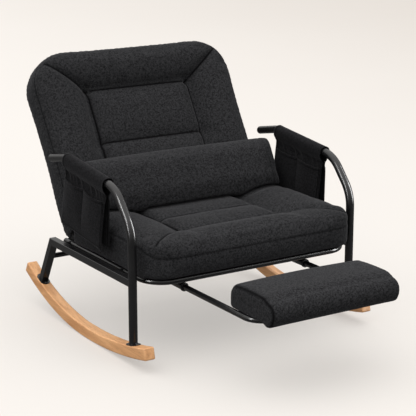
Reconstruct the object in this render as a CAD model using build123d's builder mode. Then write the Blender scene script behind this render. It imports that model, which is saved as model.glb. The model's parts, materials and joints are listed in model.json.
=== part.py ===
"""Reclining rocking chair: steel tube frame on wooden rockers, padded seat, reclining back,
sling pockets on the arms, a loose lumbar pillow and a footrest that slides out from under the seat."""

import os
from math import asin, atan2, cos, degrees, hypot, pi, radians, sin, sqrt, tan

from build123d import *

os.makedirs("parts", exist_ok=True)

# Driving dimensions in millimetres and degrees. The origin is on the floor, in the middle plane,
# where the rockers touch it. +Z is up, the sitter looks along -Y and has +X on the left.
# A size ending in _back is measured towards the rear from the front legs.

# Clearances
running_gap = 0.05
soft_gap = 0.3
pillow_gap = 0.7

# Rockers
arm_spacing = 850.0
front_leg_y = -288.5
rocker_front_radius = 1700.0
rocker_rear_radius = 960.0
rocker_width = 38.0
rocker_height = 40.0
rocker_front_reach = 107.0
rocker_rear_back = 745.0
rocker_edge = 5.0

# Foot plates and their screws
plate_length = 60.0
plate_width = 34.0
plate_thickness = 3.0
plate_recess = 1.0
screw_spread = 43.0
screw_radius = 2.5
screw_head_radius = 4.2
screw_head_height = 2.2
screw_length = 24.0
screw_head_slope = 30.0

# Arm and front leg tubes
arm_tube_radius = 14.0
arm_tube_wall = 2.0
lower_bend_z = 437.0
upper_bend_back = 100.0
upper_bend_z = 550.0
tail_bend_back = 436.0
tail_bend_z = 584.0
tail_end_back = 540.0
tail_end_z = 563.0
arm_bend_radius = 120.0
tail_bend_radius = 60.0
cap_length = 7.0
cap_rim = 1.0
cap_stem = 16.0

# Side rails, rear legs and the bar between the rear legs
rail_size = 25.0
rail_wall = 1.6
rail_edge = 2.4
rail_z = 268.0
rail_corner_back = 548.0
rear_leg_lean = 29.0
rear_bar_z = 206.0
rear_bar_radius = 9.0
bar_wall = 1.5

# Seat frame
standoff_length = 27.5
seat_tube_radius = 9.5
seat_tube_wall = 1.5
seat_tube_z = 268.5
seat_front_reach = 53.0
seat_corner_radius = 85.0
seat_rear_back = 532.0
rear_bar_back = 515.0
middle_bar_back = 315.0
front_bar_back = 45.0
standoff_radius = 9.0
front_bolt_back = 125.0
rear_bolt_back = 490.0
bolt_radius = 4.0
bolt_hole_gap = 0.2
bolt_head_radius = 7.0
bolt_head_height = 5.0

# Webbing under the seat
strap_width = 50.0
strap_thickness = 1.2
cross_strap_count = 5
long_strap_count = 5
strap_side = 105.0
strap_span_y = 400.0

# Seat cushion
seat_side_gap = 13.0
seat_draw_in = 5.0
seat_cushion_front = 76.0
seat_cushion_rear_back = 463.0
seat_corner = 80.0
seat_seam_z = 366.0
seat_bolster_rise = 38.0
seat_panel_rise = 24.0
seat_bolster_width = 208.0
seat_panel_front_back = 85.0
seat_panel_seam_back = 235.0
seat_bottom_edge = 8.0
bolster_overhang = 60.0
bolster_round = 36.0
panel_round = 9.0
channel_depth = 8.0
channel_width = 3.0
envelope_margin = 4.0

# Recline hinge, with the back drawn as it stands in the photograph
hinge_back = 509.0
hinge_z = 335.0
recline = 31.2
hinge_leaf = 4.0
leaf_gap = 0.5
hinge_eye_radius = 20.0
hinge_pin_radius = 5.0
pin_head_radius = 9.0
pin_head_height = 3.0
back_leaf_reach = 150.0
back_leaf_width = 20.0
leaf_foot_front = 60.0

# Back frame
back_tube_radius = 9.5
back_tube_wall = 1.5
back_tube_start = 46.0
back_frame_top = 560.0
back_frame_corner = 130.0
back_bar_radius = 6.0
back_bar_wall = 1.2
back_bar_heights = (130.0, 275.0, 420.0)

# Back cushion, measured up the back from the hinge and forwards from the hinge plane
back_side_inset = 2.0
back_draw_in = 5.0
back_top = 605.0
back_corner = 140.0
back_seam = 40.0
back_roll = 52.0
back_rear = 65.0
back_rear_edge = 28.0
back_skin = 8.0
back_padding_depth = 13.0
back_bolster_rise = 40.0
back_panel_rise = 18.0
back_bolster_width = 192.0
back_panel_top = 449.0
back_panel_seam = 251.0
back_cells_start = 60.0
back_panel_round = 9.0

# Lumbar pillow
pillow_side_inset = 8.0
pillow_thickness = 122.0
pillow_height_top = 166.0
pillow_base_ahead = 124.0
pillow_base_radius = 72.0
pillow_front_roll = 15.0
pillow_rear_roll = 25.0
pillow_top_round = 56.0
pillow_front_round = 30.0
pillow_rear_round = 24.0
pillow_low_end = 45.0
pillow_end_round = 34.0
pillow_end_depth = 46.0

# Sling pockets
pocket_front_back = 148.0
pocket_rear_back = 425.0
sleeve_thickness = 3.6
pocket_drop = 222.0
panel_thickness = 2.0
pouch_top = 60.0
pouch_margin = 5.0
pouch_wall = 2.0
pouch_open_outer = 13.0
pouch_open_inner = 10.0

# Footrest
slide_spacing = 476.0
slide_z = 224.0
slide_tube_radius = 9.5
slide_tube_wall = 2.0
slide_corner_radius = 62.0
slide_front_reach = 410.0
guide_radius = 12.5
guide_wall = 2.0
guide_front_back = 0.0
guide_rear_back = 355.0
bush_length = 140.0
bush_collar_radius = 14.5
bush_collar_length = 6.0
plug_length = 15.0
plug_stem = 20.0
plug_gap = 0.1
hanger_width = 22.0
hanger_thickness = 6.0
foot_bar_reach = 310.0
board_side_gap = 33.0
board_front_lip = 58.0
board_rear_lip = 32.0
board_thickness = 15.0
clip_x = 130.0
clip_width = 16.0
clip_thickness = 2.0
clip_flange = 14.0
clip_screw_radius = 2.0
clip_screw_head = 3.6
clip_screw_head_height = 1.8
clip_screw_length = 10.0
pad_side_lip = 32.0
pad_front_lip = 33.0
pad_rear_lip = 13.0
pad_height = 76.0
pad_nose_length = 70.0
pad_nose_lift = 8.0
pad_rear_round = 34.0
pad_end_round = 14.0

# Places worked out from the driving dimensions
side_x = arm_spacing / 2
rail_inner_x = side_x - rail_size / 2
seat_x = rail_inner_x - standoff_length
seat_half_width = side_x - arm_tube_radius - seat_side_gap
seat_panel_half = seat_half_width - seat_bolster_width
back_half_width = seat_half_width - back_side_inset
back_panel_half = back_half_width - back_bolster_width
pillow_half_width = back_half_width - pillow_side_inset
slide_x = slide_spacing / 2
board_half_width = slide_x - board_side_gap
pad_half_width = board_half_width + pad_side_lip
hinge_y = front_leg_y + hinge_back
strap_bottom = seat_tube_z + seat_tube_radius
cushion_bottom = strap_bottom + 2 * strap_thickness
seat_top = seat_seam_z + seat_bolster_rise
leaf_outer_x = seat_x - seat_tube_radius
leaf_split_x = leaf_outer_x - hinge_leaf
back_leaf_outer_x = leaf_split_x - leaf_gap
back_leaf_inner_x = back_leaf_outer_x - hinge_leaf
back_tube_x = back_leaf_inner_x - back_tube_radius
up_y = sin(radians(recline))
up_z = cos(radians(recline))
back_plane = Plane(origin=(0, hinge_y, hinge_z), x_dir=(1, 0, 0), z_dir=(0, -up_z, up_y))
back_side = Plane(origin=(0, hinge_y, hinge_z), x_dir=(0, up_y, up_z), z_dir=(1, 0, 0))
back_tubes = Plane(origin=(0, hinge_y, hinge_z), x_dir=(1, 0, 0), z_dir=(0, up_y, up_z))


def write(piece, label):
    """Label a finished piece and write it to its own file."""
    piece.part.label = label
    export_step(piece.part, f"parts/{label}.step")


def write_pair(piece, label):
    """Write the left-hand piece and its mirror image."""
    write(piece, f"{label}_left")
    with BuildPart() as right:
        mirror(piece.part, about=Plane.YZ)
    write(right, f"{label}_right")


def both_sides(piece, label):
    """Write one node that holds the left-hand pieces and their mirror images."""
    with BuildPart() as pair:
        add(piece.part)
        mirror(piece.part, about=Plane.YZ)
    write(pair, label)


def rocker_plane(y, lift):
    """Plane square to a rocker's top at y, raised along its normal by lift."""
    arc_radius = rocker_front_radius if y < 0 else rocker_rear_radius
    turn = asin(y / (arc_radius - rocker_height))
    radius = arc_radius - rocker_height - lift
    origin = (side_x, radius * sin(turn), arc_radius - radius * cos(turn))
    return Plane(origin=origin, x_dir=(1, 0, 0), z_dir=(0, -sin(turn), cos(turn)))


def top_edges(piece, plane):
    """Edges of the face that lies furthest along the plane's normal."""
    return piece.faces().sort_by(Axis(plane.origin, plane.z_dir))[-1].edges()


def behind(distance):
    """Y of a point at this distance behind the front legs."""
    return front_leg_y + distance


# Rear leg line, from the rail's corner down to the rocker's top
corner_y = behind(rail_corner_back)
lean_y = sin(radians(rear_leg_lean))
lean_z = -cos(radians(rear_leg_lean))
centre_drop = rail_z - rocker_rear_radius
down_dot = corner_y * lean_y + centre_drop * lean_z
reach_sq = corner_y**2 + centre_drop**2 - (rocker_rear_radius - rocker_height) ** 2
rear_leg_length = -down_dot + sqrt(down_dot**2 - reach_sq)
rear_foot_y = corner_y + rear_leg_length * lean_y
foot_ys = (front_leg_y, rear_foot_y)
foot_names = ("front", "rear")


# Rockers: bent wooden runners with rounded edges, flats for the foot plates and screw holes
front_turn = degrees(asin((front_leg_y - rocker_front_reach) / rocker_front_radius))
rear_turn = degrees(asin(behind(rocker_rear_back) / rocker_rear_radius))
rocker_ends = ((rocker_front_radius, front_turn), (rocker_rear_radius, rear_turn))
with BuildPart() as rocker:
    with BuildSketch(Plane.YZ.offset(side_x - rocker_width / 2)):
        with BuildLine():
            for arc_radius, turn in rocker_ends:
                under = CenterArc((0, arc_radius), arc_radius, 270, turn)
                top = CenterArc((0, arc_radius), arc_radius - rocker_height, 270, turn)
                Line(under @ 1, top @ 1)
        make_face()
    extrude(amount=rocker_width)
    fillet(rocker.edges().filter_by(lambda edge: abs(edge.center().Y) > rocker_edge), rocker_edge)
    for foot_y in foot_ys:
        seat = rocker_plane(foot_y, -plate_recess)
        with BuildSketch(seat):
            SlotOverall(plate_length + 2 * soft_gap, plate_width + 2 * soft_gap, rotation=90)
        extrude(amount=plate_recess + plate_thickness, mode=Mode.SUBTRACT)
        with BuildSketch(seat):
            with GridLocations(1, screw_spread, 1, 2):
                Circle(screw_radius)
        extrude(amount=-screw_length, mode=Mode.SUBTRACT)
write_pair(rocker, "rocker")

# Foot plates: rounded steel plates let into the rockers, with two screws each
for foot_y, foot_name in zip(foot_ys, foot_names):
    with BuildPart() as foot_plate:
        with BuildSketch(rocker_plane(foot_y, -plate_recess)):
            SlotOverall(plate_length, plate_width, rotation=90)
            with GridLocations(1, screw_spread, 1, 2):
                Circle(screw_radius, mode=Mode.SUBTRACT)
        extrude(amount=plate_thickness)
    write_pair(foot_plate, f"{foot_name}_foot_plate")

with BuildPart() as plate_screws:
    for foot_y in foot_ys:
        for side in (-1, 1):
            with BuildSketch(rocker_plane(foot_y, plate_thickness - plate_recess)):
                with Locations((0, side * screw_spread / 2)):
                    Circle(screw_head_radius)
            extrude(amount=screw_head_height, taper=screw_head_slope)
            with BuildSketch(rocker_plane(foot_y, plate_thickness - plate_recess)):
                with Locations((0, side * screw_spread / 2)):
                    Circle(screw_radius)
            extrude(amount=-(screw_length + plate_thickness - plate_recess))
both_sides(plate_screws, "foot_plate_screws")

# Arm tubes: front leg, armrest and drooping tail bent from one tube
arm_points = (
    (front_leg_y, 0),
    (front_leg_y, lower_bend_z),
    (behind(upper_bend_back), upper_bend_z),
    (behind(tail_bend_back), tail_bend_z),
    (behind(tail_end_back), tail_end_z),
)
with BuildPart() as arm_tube:
    with BuildLine(Plane.YZ.offset(side_x)) as arm_path:
        FilletPolyline(*arm_points, radius=(arm_bend_radius, arm_bend_radius, tail_bend_radius))
    with BuildSketch(Plane(origin=arm_path.line @ 0, z_dir=arm_path.line % 0)):
        Circle(arm_tube_radius)
        Circle(arm_tube_radius - arm_tube_wall, mode=Mode.SUBTRACT)
    sweep()
    split(bisect_by=rocker_plane(front_leg_y, plate_thickness - plate_recess), keep=Keep.TOP)
write_pair(arm_tube, "arm_tube")

# Domed plugs in the tail ends of the arms
tail_plane = Plane(origin=arm_path.line @ 1, x_dir=(1, 0, 0), z_dir=arm_path.line % 1)
with BuildPart() as end_cap:
    with BuildSketch(tail_plane):
        Circle(arm_tube_radius)
    extrude(amount=cap_length)
    fillet(top_edges(end_cap, tail_plane), cap_length - cap_rim)
    with BuildSketch(tail_plane):
        Circle(arm_tube_radius - arm_tube_wall)
    extrude(amount=-cap_stem)
both_sides(end_cap, "arm_end_caps")

# Side rails: square tubes from the front legs to a mitred rear corner
mitre = Plane(origin=(side_x, corner_y, rail_z), x_dir=(1, 0, 0), z_dir=(0, 1 + lean_y, lean_z))
with BuildPart() as side_rail:
    with BuildSketch(Plane(origin=(side_x, front_leg_y, rail_z), x_dir=(1, 0, 0), z_dir=(0, 1, 0))):
        RectangleRounded(rail_size, rail_size, rail_edge)
        Rectangle(rail_size - 2 * rail_wall, rail_size - 2 * rail_wall, mode=Mode.SUBTRACT)
    extrude(amount=rail_corner_back + rail_size)
    split(bisect_by=mitre, keep=Keep.BOTTOM)
    with BuildSketch(Plane.XY.offset(rail_z - rail_size)):
        with Locations((side_x, front_leg_y)):
            Circle(arm_tube_radius)
    extrude(amount=2 * rail_size, mode=Mode.SUBTRACT)
    split(bisect_by=Plane.XZ.offset(-front_leg_y), keep=Keep.BOTTOM)
write_pair(side_rail, "side_rail")

# Rear legs: the same tube, mitred to the rail and leaning back to the rocker
with BuildPart() as rear_leg:
    leg_top = (side_x, corner_y - rail_size * lean_y, rail_z - rail_size * lean_z)
    with BuildSketch(Plane(origin=leg_top, x_dir=(1, 0, 0), z_dir=(0, lean_y, lean_z))):
        RectangleRounded(rail_size, rail_size, rail_edge)
        Rectangle(rail_size - 2 * rail_wall, rail_size - 2 * rail_wall, mode=Mode.SUBTRACT)
    extrude(amount=rear_leg_length + 2 * rail_size)
    split(bisect_by=mitre, keep=Keep.TOP)
    split(bisect_by=rocker_plane(rear_foot_y, plate_thickness - plate_recess), keep=Keep.TOP)
write_pair(rear_leg, "rear_leg")

# Round bar between the rear legs
rear_bar_y = corner_y + (rail_z - rear_bar_z) * tan(radians(rear_leg_lean))
with BuildPart() as rear_cross_bar:
    with BuildSketch(Plane.YZ):
        with Locations((rear_bar_y, rear_bar_z)):
            Circle(rear_bar_radius)
            Circle(rear_bar_radius - bar_wall, mode=Mode.SUBTRACT)
    extrude(amount=rail_inner_x, both=True)
write(rear_cross_bar, "rear_cross_bar")

# Seat frame: a tube bent round the front of the seat, open at the rear
bolt_backs = (front_bolt_back, rear_bolt_back)
with BuildPart() as seat_frame:
    with BuildLine(Plane.XY.offset(seat_tube_z)) as seat_path:
        FilletPolyline(
            (-seat_x, behind(seat_rear_back)),
            (-seat_x, front_leg_y - seat_front_reach),
            (seat_x, front_leg_y - seat_front_reach),
            (seat_x, behind(seat_rear_back)),
            radius=seat_corner_radius,
        )
    with BuildSketch(Plane(origin=seat_path.line @ 0, z_dir=seat_path.line % 0)):
        Circle(seat_tube_radius)
        Circle(seat_tube_radius - seat_tube_wall, mode=Mode.SUBTRACT)
    sweep()
    for bolt_back in bolt_backs:
        with BuildSketch(Plane.YZ):
            with Locations((behind(bolt_back), seat_tube_z)):
                Circle(bolt_radius + bolt_hole_gap)
        extrude(amount=side_x, both=True, mode=Mode.SUBTRACT)
write(seat_frame, "seat_frame")

# Plugs in the open rear ends of the seat frame
with BuildPart() as seat_plug:
    with BuildSketch(Plane(origin=seat_path.line @ 1, z_dir=(0, 1, 0))):
        Circle(seat_tube_radius)
    extrude(amount=seat_tube_wall)
    with BuildSketch(Plane(origin=seat_path.line @ 1, z_dir=(0, 1, 0))):
        Circle(seat_tube_radius - seat_tube_wall)
    extrude(amount=-cap_stem)
both_sides(seat_plug, "seat_frame_plugs")

# Bars across the seat frame, coped to its side tubes; the rear one ends on the hinge leaves
bar_backs = (front_bar_back, middle_bar_back, rear_bar_back)
bar_halves = (seat_x, seat_x, leaf_split_x)
for bar_back, bar_half, bar_name in zip(bar_backs, bar_halves, ("front", "middle", "rear")):
    with BuildPart() as seat_bar:
        with BuildSketch(Plane.YZ):
            with Locations((behind(bar_back), seat_tube_z)):
                Circle(seat_tube_radius)
                Circle(seat_tube_radius - bar_wall, mode=Mode.SUBTRACT)
        extrude(amount=bar_half, both=True)
        with BuildSketch(Plane.XZ.offset(-behind(bar_back))):
            with Locations((-seat_x, seat_tube_z), (seat_x, seat_tube_z)):
                Circle(seat_tube_radius)
        extrude(amount=2 * seat_tube_radius, both=True, mode=Mode.SUBTRACT)
    write(seat_bar, f"seat_{bar_name}_bar")

# Standoffs between rails and seat frame, and the bolts that hold them
with BuildPart() as standoffs:
    for bolt_back in bolt_backs:
        with BuildSketch(Plane.YZ.offset(seat_x)):
            with Locations((behind(bolt_back), seat_tube_z)):
                Circle(standoff_radius)
                Circle(bolt_radius + bolt_hole_gap, mode=Mode.SUBTRACT)
        extrude(amount=rail_inner_x - seat_x)
    with BuildSketch(Plane.XZ.offset(-front_leg_y)):
        with Locations((seat_x, seat_tube_z)):
            Circle(seat_tube_radius)
    extrude(amount=-seat_rear_back, mode=Mode.SUBTRACT)
both_sides(standoffs, "seat_standoffs")

# The rear bolts also clamp the feet of the hinge leaves
bolt_seats = (leaf_outer_x, leaf_split_x)
with BuildPart() as seat_bolts:
    for bolt_back, bolt_seat in zip(bolt_backs, bolt_seats):
        with BuildSketch(Plane.YZ.offset(bolt_seat)):
            with Locations((behind(bolt_back), seat_tube_z)):
                Circle(bolt_radius)
        extrude(amount=rail_inner_x - bolt_seat - bolt_hole_gap)
        with BuildSketch(Plane.YZ.offset(bolt_seat)):
            with Locations((behind(bolt_back), seat_tube_z)):
                RegularPolygon(bolt_head_radius, 6)
        extrude(amount=-bolt_head_height)
both_sides(seat_bolts, "seat_bolts")

# Webbing that carries the seat cushion
strap_mid_y = (behind(front_bar_back) + behind(seat_cushion_rear_back)) / 2
strap_front_y = front_leg_y - seat_front_reach
long_strap_pitch = 2 * (seat_x - strap_side) / (long_strap_count - 1)
cross_strap_pitch = strap_span_y / (cross_strap_count - 1)
with BuildPart() as seat_webbing:
    with BuildSketch(Plane.XY.offset(strap_bottom)):
        with Locations((0, (strap_front_y + behind(rear_bar_back)) / 2)):
            with GridLocations(long_strap_pitch, 1, long_strap_count, 1):
                Rectangle(strap_width, behind(rear_bar_back) - strap_front_y)
    extrude(amount=strap_thickness)
    with BuildSketch(Plane.XY.offset(strap_bottom + strap_thickness)):
        with Locations((0, strap_mid_y)):
            with GridLocations(1, cross_strap_pitch, 1, cross_strap_count):
                Rectangle(2 * seat_x, strap_width)
    extrude(amount=strap_thickness)
write(seat_webbing, "seat_webbing")


# How far a rounded corner stays inside its sharp one, as a share of its radius
corner_cut = 1 - sqrt(0.5)


def crown(plane, low, high, start, stop, rise):
    """Arched roll over the plane: from low to high in its x direction, running from start to stop in y."""
    across = Plane(origin=plane.from_local_coords((0, start, 0)), x_dir=plane.x_dir, z_dir=-plane.y_dir)
    with BuildPart() as roll:
        with BuildSketch(across):
            with BuildLine():
                ThreePointArc((low, 0), ((low + high) / 2, rise), (high, 0))
                Line((high, 0), (low, 0))
            make_face()
        extrude(amount=start - stop)
    return roll.part


def turned(plane):
    """The same plane with its x direction along the old y direction."""
    return Plane(origin=plane.origin, x_dir=plane.y_dir, z_dir=plane.z_dir)


def mitre_channel(plane, inner, outer, rise):
    """Cutter for the sewn channel over a mitred corner, from the panel's corner to the outer corner."""
    run_x = outer[0] - inner[0]
    run_y = outer[1] - inner[1]
    with BuildPart() as channel:
        with BuildSketch(plane.offset(rise - channel_depth)):
            with Locations(((inner[0] + outer[0]) / 2, (inner[1] + outer[1]) / 2)):
                Rectangle(hypot(run_x, run_y), channel_width, rotation=degrees(atan2(run_y, run_x)))
        extrude(amount=2 * channel_depth)
    return channel.part


def panel_cell(plane, half_width, low, high, rise, rounding):
    """A stuffed rectangular cell between two sewn channels."""
    with BuildPart() as cell:
        with BuildSketch(plane):
            with Locations((0, (low + high) / 2)):
                Rectangle(2 * half_width, high - low)
        extrude(amount=rise)
        fillet(top_edges(cell, plane), rounding)
    return cell.part


# Seat cushion: boxed slab, side and front bolsters mitred round a lower panel in two channels
seat_front_y = front_leg_y - seat_cushion_front
seat_rear_y = behind(seat_cushion_rear_back)
panel_front_y = behind(seat_panel_front_back)
panel_seam_y = behind(seat_panel_seam_back)
with BuildSketch() as seat_outline:
    with BuildLine():
        side_curve = ThreePointArc(
            (seat_half_width, seat_front_y + seat_corner),
            (seat_half_width - seat_draw_in, (seat_front_y + seat_rear_y) / 2),
            (seat_half_width, seat_rear_y),
        )
        corner_x = seat_half_width - seat_corner
        corner_curve = RadiusArc((corner_x, seat_front_y), side_curve @ 0, -seat_corner)
        mirror(side_curve, about=Plane.YZ)
        mirror(corner_curve, about=Plane.YZ)
        Line((corner_x, seat_front_y), (-corner_x, seat_front_y))
        Line((seat_half_width, seat_rear_y), (-seat_half_width, seat_rear_y))
    make_face()
seam_plane = Plane.XY.offset(seat_seam_z)
seam_turned = turned(seam_plane)
seat_inner = (seat_panel_half, panel_front_y)
seat_mitre = (seat_half_width - corner_cut * seat_corner, seat_front_y + corner_cut * seat_corner)
side_span = (seat_panel_half, seat_half_width + bolster_overhang)
side_run = (seat_front_y, seat_rear_y)
front_span = (seat_front_y - bolster_overhang, panel_front_y)
front_run = (-seat_half_width, seat_half_width)
with BuildPart() as seat_envelope:
    with BuildSketch(seam_plane):
        add(seat_outline.sketch)
    extrude(amount=seat_bolster_rise + envelope_margin)
    fillet(top_edges(seat_envelope, seam_plane), bolster_round)
with BuildPart() as seat_padding:
    add(crown(seam_plane, *side_span, *side_run, seat_bolster_rise))
    mirror(about=Plane.YZ)
    add(crown(seam_turned, *front_span, *front_run, seat_bolster_rise))
    add(seat_envelope.part, mode=Mode.INTERSECT)
    seat_channel = mitre_channel(seam_plane, seat_inner, seat_mitre, seat_bolster_rise)
    add(seat_channel, mode=Mode.SUBTRACT)
    mirror(seat_channel, about=Plane.YZ, mode=Mode.SUBTRACT)
with BuildPart() as seat_cushion:
    with BuildSketch(Plane.XY.offset(cushion_bottom)):
        add(seat_outline.sketch)
    extrude(amount=seat_seam_z - cushion_bottom)
    fillet(seat_cushion.faces().sort_by(Axis.Z)[0].edges(), seat_bottom_edge)
    add(seat_padding.part)
    for low_y, high_y in ((panel_front_y, panel_seam_y), (panel_seam_y, seat_rear_y)):
        add(panel_cell(seam_plane, seat_panel_half, low_y, high_y, seat_panel_rise, panel_round))
write(seat_cushion, "seat_cushion")

# Recline hinges: a leaf on the seat frame, a leaf on the back frame and a pin through both
hinge_side = Plane(origin=(0, hinge_y, hinge_z), x_dir=(0, 1, 0), z_dir=(1, 0, 0))
tube_drop = seat_tube_z - hinge_z
foot_y = behind(rear_bolt_back) - hinge_y
with BuildPart() as seat_leaf:
    with BuildSketch(hinge_side.offset(leaf_split_x)):
        Circle(hinge_eye_radius)
        with Locations((0, tube_drop / 2)):
            Rectangle(2 * hinge_eye_radius, -tube_drop)
        with Locations((foot_y, tube_drop)):
            SlotOverall(leaf_foot_front + 2 * hinge_eye_radius, 2 * seat_tube_radius)
        Circle(hinge_pin_radius, mode=Mode.SUBTRACT)
        with Locations((foot_y, tube_drop)):
            Circle(bolt_radius + bolt_hole_gap, mode=Mode.SUBTRACT)
    extrude(amount=hinge_leaf)
write_pair(seat_leaf, "hinge_seat_leaf")

with BuildPart() as back_leaf:
    with BuildSketch(back_side.offset(back_leaf_inner_x)):
        Circle(hinge_eye_radius)
        with Locations((back_leaf_reach / 2, 0)):
            SlotOverall(back_leaf_reach + back_leaf_width, back_leaf_width)
        Circle(hinge_pin_radius + running_gap, mode=Mode.SUBTRACT)
    extrude(amount=hinge_leaf)
write_pair(back_leaf, "hinge_back_leaf")

pin_inner_x = back_leaf_inner_x - soft_gap
with BuildPart() as hinge_pin:
    with BuildSketch(hinge_side.offset(pin_inner_x)):
        Circle(hinge_pin_radius)
    extrude(amount=leaf_outer_x - pin_inner_x)
    with BuildSketch(hinge_side.offset(pin_inner_x)):
        Circle(pin_head_radius)
    extrude(amount=-pin_head_height)
    with BuildSketch(hinge_side.offset(leaf_outer_x)):
        Circle(pin_head_radius)
    extrude(amount=pin_head_height)
both_sides(hinge_pin, "hinge_pins")

# Back frame: an arch of tube inside the back cushion, with cross bars
with BuildPart() as back_frame:
    with BuildLine(back_plane) as back_path:
        FilletPolyline(
            (-back_tube_x, back_tube_start),
            (-back_tube_x, back_frame_top),
            (back_tube_x, back_frame_top),
            (back_tube_x, back_tube_start),
            radius=back_frame_corner,
        )
    with BuildSketch(Plane(origin=back_path.line @ 0, z_dir=back_path.line % 0)):
        Circle(back_tube_radius)
        Circle(back_tube_radius - back_tube_wall, mode=Mode.SUBTRACT)
    sweep()
write(back_frame, "back_frame")

with BuildPart() as back_bars:
    for height in back_bar_heights:
        with BuildSketch(back_side):
            with Locations((height, 0)):
                Circle(back_bar_radius)
                Circle(back_bar_radius - back_bar_wall, mode=Mode.SUBTRACT)
        extrude(amount=back_tube_x, both=True)
    with BuildSketch(back_tubes):
        with Locations((-back_tube_x, 0), (back_tube_x, 0)):
            Circle(back_tube_radius)
    extrude(amount=back_frame_top, mode=Mode.SUBTRACT)
write(back_bars, "back_bars")

# Back outline: drawn-in sides, rounded top corners, lower end left long for the roll at the hinge
with BuildSketch() as back_outline:
    with BuildLine():
        back_side_curve = ThreePointArc(
            (back_half_width, -back_corner),
            (back_half_width - back_draw_in, (back_top - back_corner) / 2),
            (back_half_width, back_top - back_corner),
        )
        back_corner_x = back_half_width - back_corner
        back_corner_curve = RadiusArc(back_side_curve @ 1, (back_corner_x, back_top), -back_corner)
        mirror(back_side_curve, about=Plane.YZ)
        mirror(back_corner_curve, about=Plane.YZ)
        Line((back_corner_x, back_top), (-back_corner_x, back_top))
        Line((back_half_width, -back_corner), (-back_half_width, -back_corner))
    make_face()

# Room inside the back cushion for its frame and for the hinges
slot_inner_x = pin_inner_x - pin_head_height - soft_gap
slot_outer_x = leaf_outer_x + pin_head_height + soft_gap
with BuildPart() as hinge_slot:
    with BuildSketch(back_side.offset(slot_inner_x)):
        Circle(back_roll + soft_gap)
    extrude(amount=slot_outer_x - slot_inner_x)
    with BuildSketch(back_side.offset(back_leaf_inner_x - soft_gap)):
        with Locations((back_leaf_reach / 2, 0)):
            leaf_room = back_leaf_reach + back_leaf_width + 2 * soft_gap
            SlotOverall(leaf_room, back_leaf_width + 2 * soft_gap)
    extrude(amount=hinge_leaf + 2 * soft_gap)
with BuildPart() as hinge_room:
    add(hinge_slot.part)
    with BuildSketch(back_tubes.offset(back_tube_start)):
        with Locations((back_tube_x, 0)):
            Circle(back_tube_radius)
    extrude(amount=back_cells_start - back_tube_start)
    mirror(about=Plane.YZ)

# Open space round the frame, between the front padding and the rear cover
room_half = back_tube_x - back_tube_radius - back_skin
room_top = back_frame_top - back_tube_radius - back_skin
with BuildSketch() as room_outline:
    add(back_outline.sketch)
    offset(amount=-back_skin, mode=Mode.REPLACE)
    with Locations((0, back_cells_start)):
        Rectangle(2 * back_half_width, back_top, align=(Align.CENTER, Align.MIN), mode=Mode.INTERSECT)
with BuildPart() as front_room:
    add(room_outline.sketch)
    extrude(amount=back_tube_radius)
    with BuildSketch():
        with Locations((0, (back_cells_start + room_top) / 2)):
            RectangleRounded(2 * room_half, room_top - back_cells_start, back_frame_corner)
    extrude(amount=back_seam - back_padding_depth)
with BuildPart() as rear_room:
    add(room_outline.sketch)
    extrude(amount=back_skin - back_rear)
    fillet(rear_room.faces().sort_by(Axis.Z)[0].edges(), back_rear_edge - back_skin)

# Back cushion: front half of the back, crowned bolsters mitred round a lower panel
back_front = back_plane.offset(back_seam)
back_inner = (back_panel_half, back_panel_top)
back_mitre = (back_half_width - corner_cut * back_corner, back_top - corner_cut * back_corner)
back_span = (back_panel_half, back_half_width + bolster_overhang)
back_run = (back_cells_start, back_top)
top_span = (back_panel_top, back_top + bolster_overhang)
top_run = (-back_half_width, back_half_width)
with BuildPart() as back_envelope:
    with BuildSketch():
        add(back_outline.sketch)
        with Locations((0, back_cells_start)):
            Rectangle(2 * back_half_width, back_top, align=(Align.CENTER, Align.MIN), mode=Mode.INTERSECT)
    extrude(amount=back_bolster_rise + envelope_margin)
    fillet(top_edges(back_envelope, Plane.XY), bolster_round)
with BuildPart() as back_padding:
    add(crown(Plane.XY, *back_span, *back_run, back_bolster_rise))
    mirror(about=Plane.YZ)
    add(crown(turned(Plane.XY), *top_span, *top_run, back_bolster_rise))
    add(back_envelope.part, mode=Mode.INTERSECT)
    back_channel = mitre_channel(Plane.XY, back_inner, back_mitre, back_bolster_rise)
    add(back_channel, mode=Mode.SUBTRACT)
    mirror(back_channel, about=Plane.YZ, mode=Mode.SUBTRACT)
    for low_y, high_y in ((back_cells_start, back_panel_seam), (back_panel_seam, back_panel_top)):
        add(panel_cell(Plane.XY, back_panel_half, low_y, high_y, back_panel_rise, back_panel_round))
with BuildPart() as back_cushion:
    with BuildSketch(back_side):
        with BuildLine():
            roll_mid = back_seam * cos(pi / 4)
            ThreePointArc((-back_seam, 0), (-roll_mid, roll_mid), (0, back_seam))
            Polyline((0, back_seam), (back_top, back_seam), (back_top, 0), (-back_seam, 0))
        make_face()
    extrude(amount=back_half_width, both=True)
    with BuildSketch(back_plane):
        add(back_outline.sketch)
    extrude(amount=back_seam, both=True, mode=Mode.INTERSECT)
    add(back_padding.part.moved(back_front.location))
    add(front_room.part.moved(back_plane.location), mode=Mode.SUBTRACT)
    add(hinge_room.part, mode=Mode.SUBTRACT)
write(back_cushion, "back_cushion")

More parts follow.
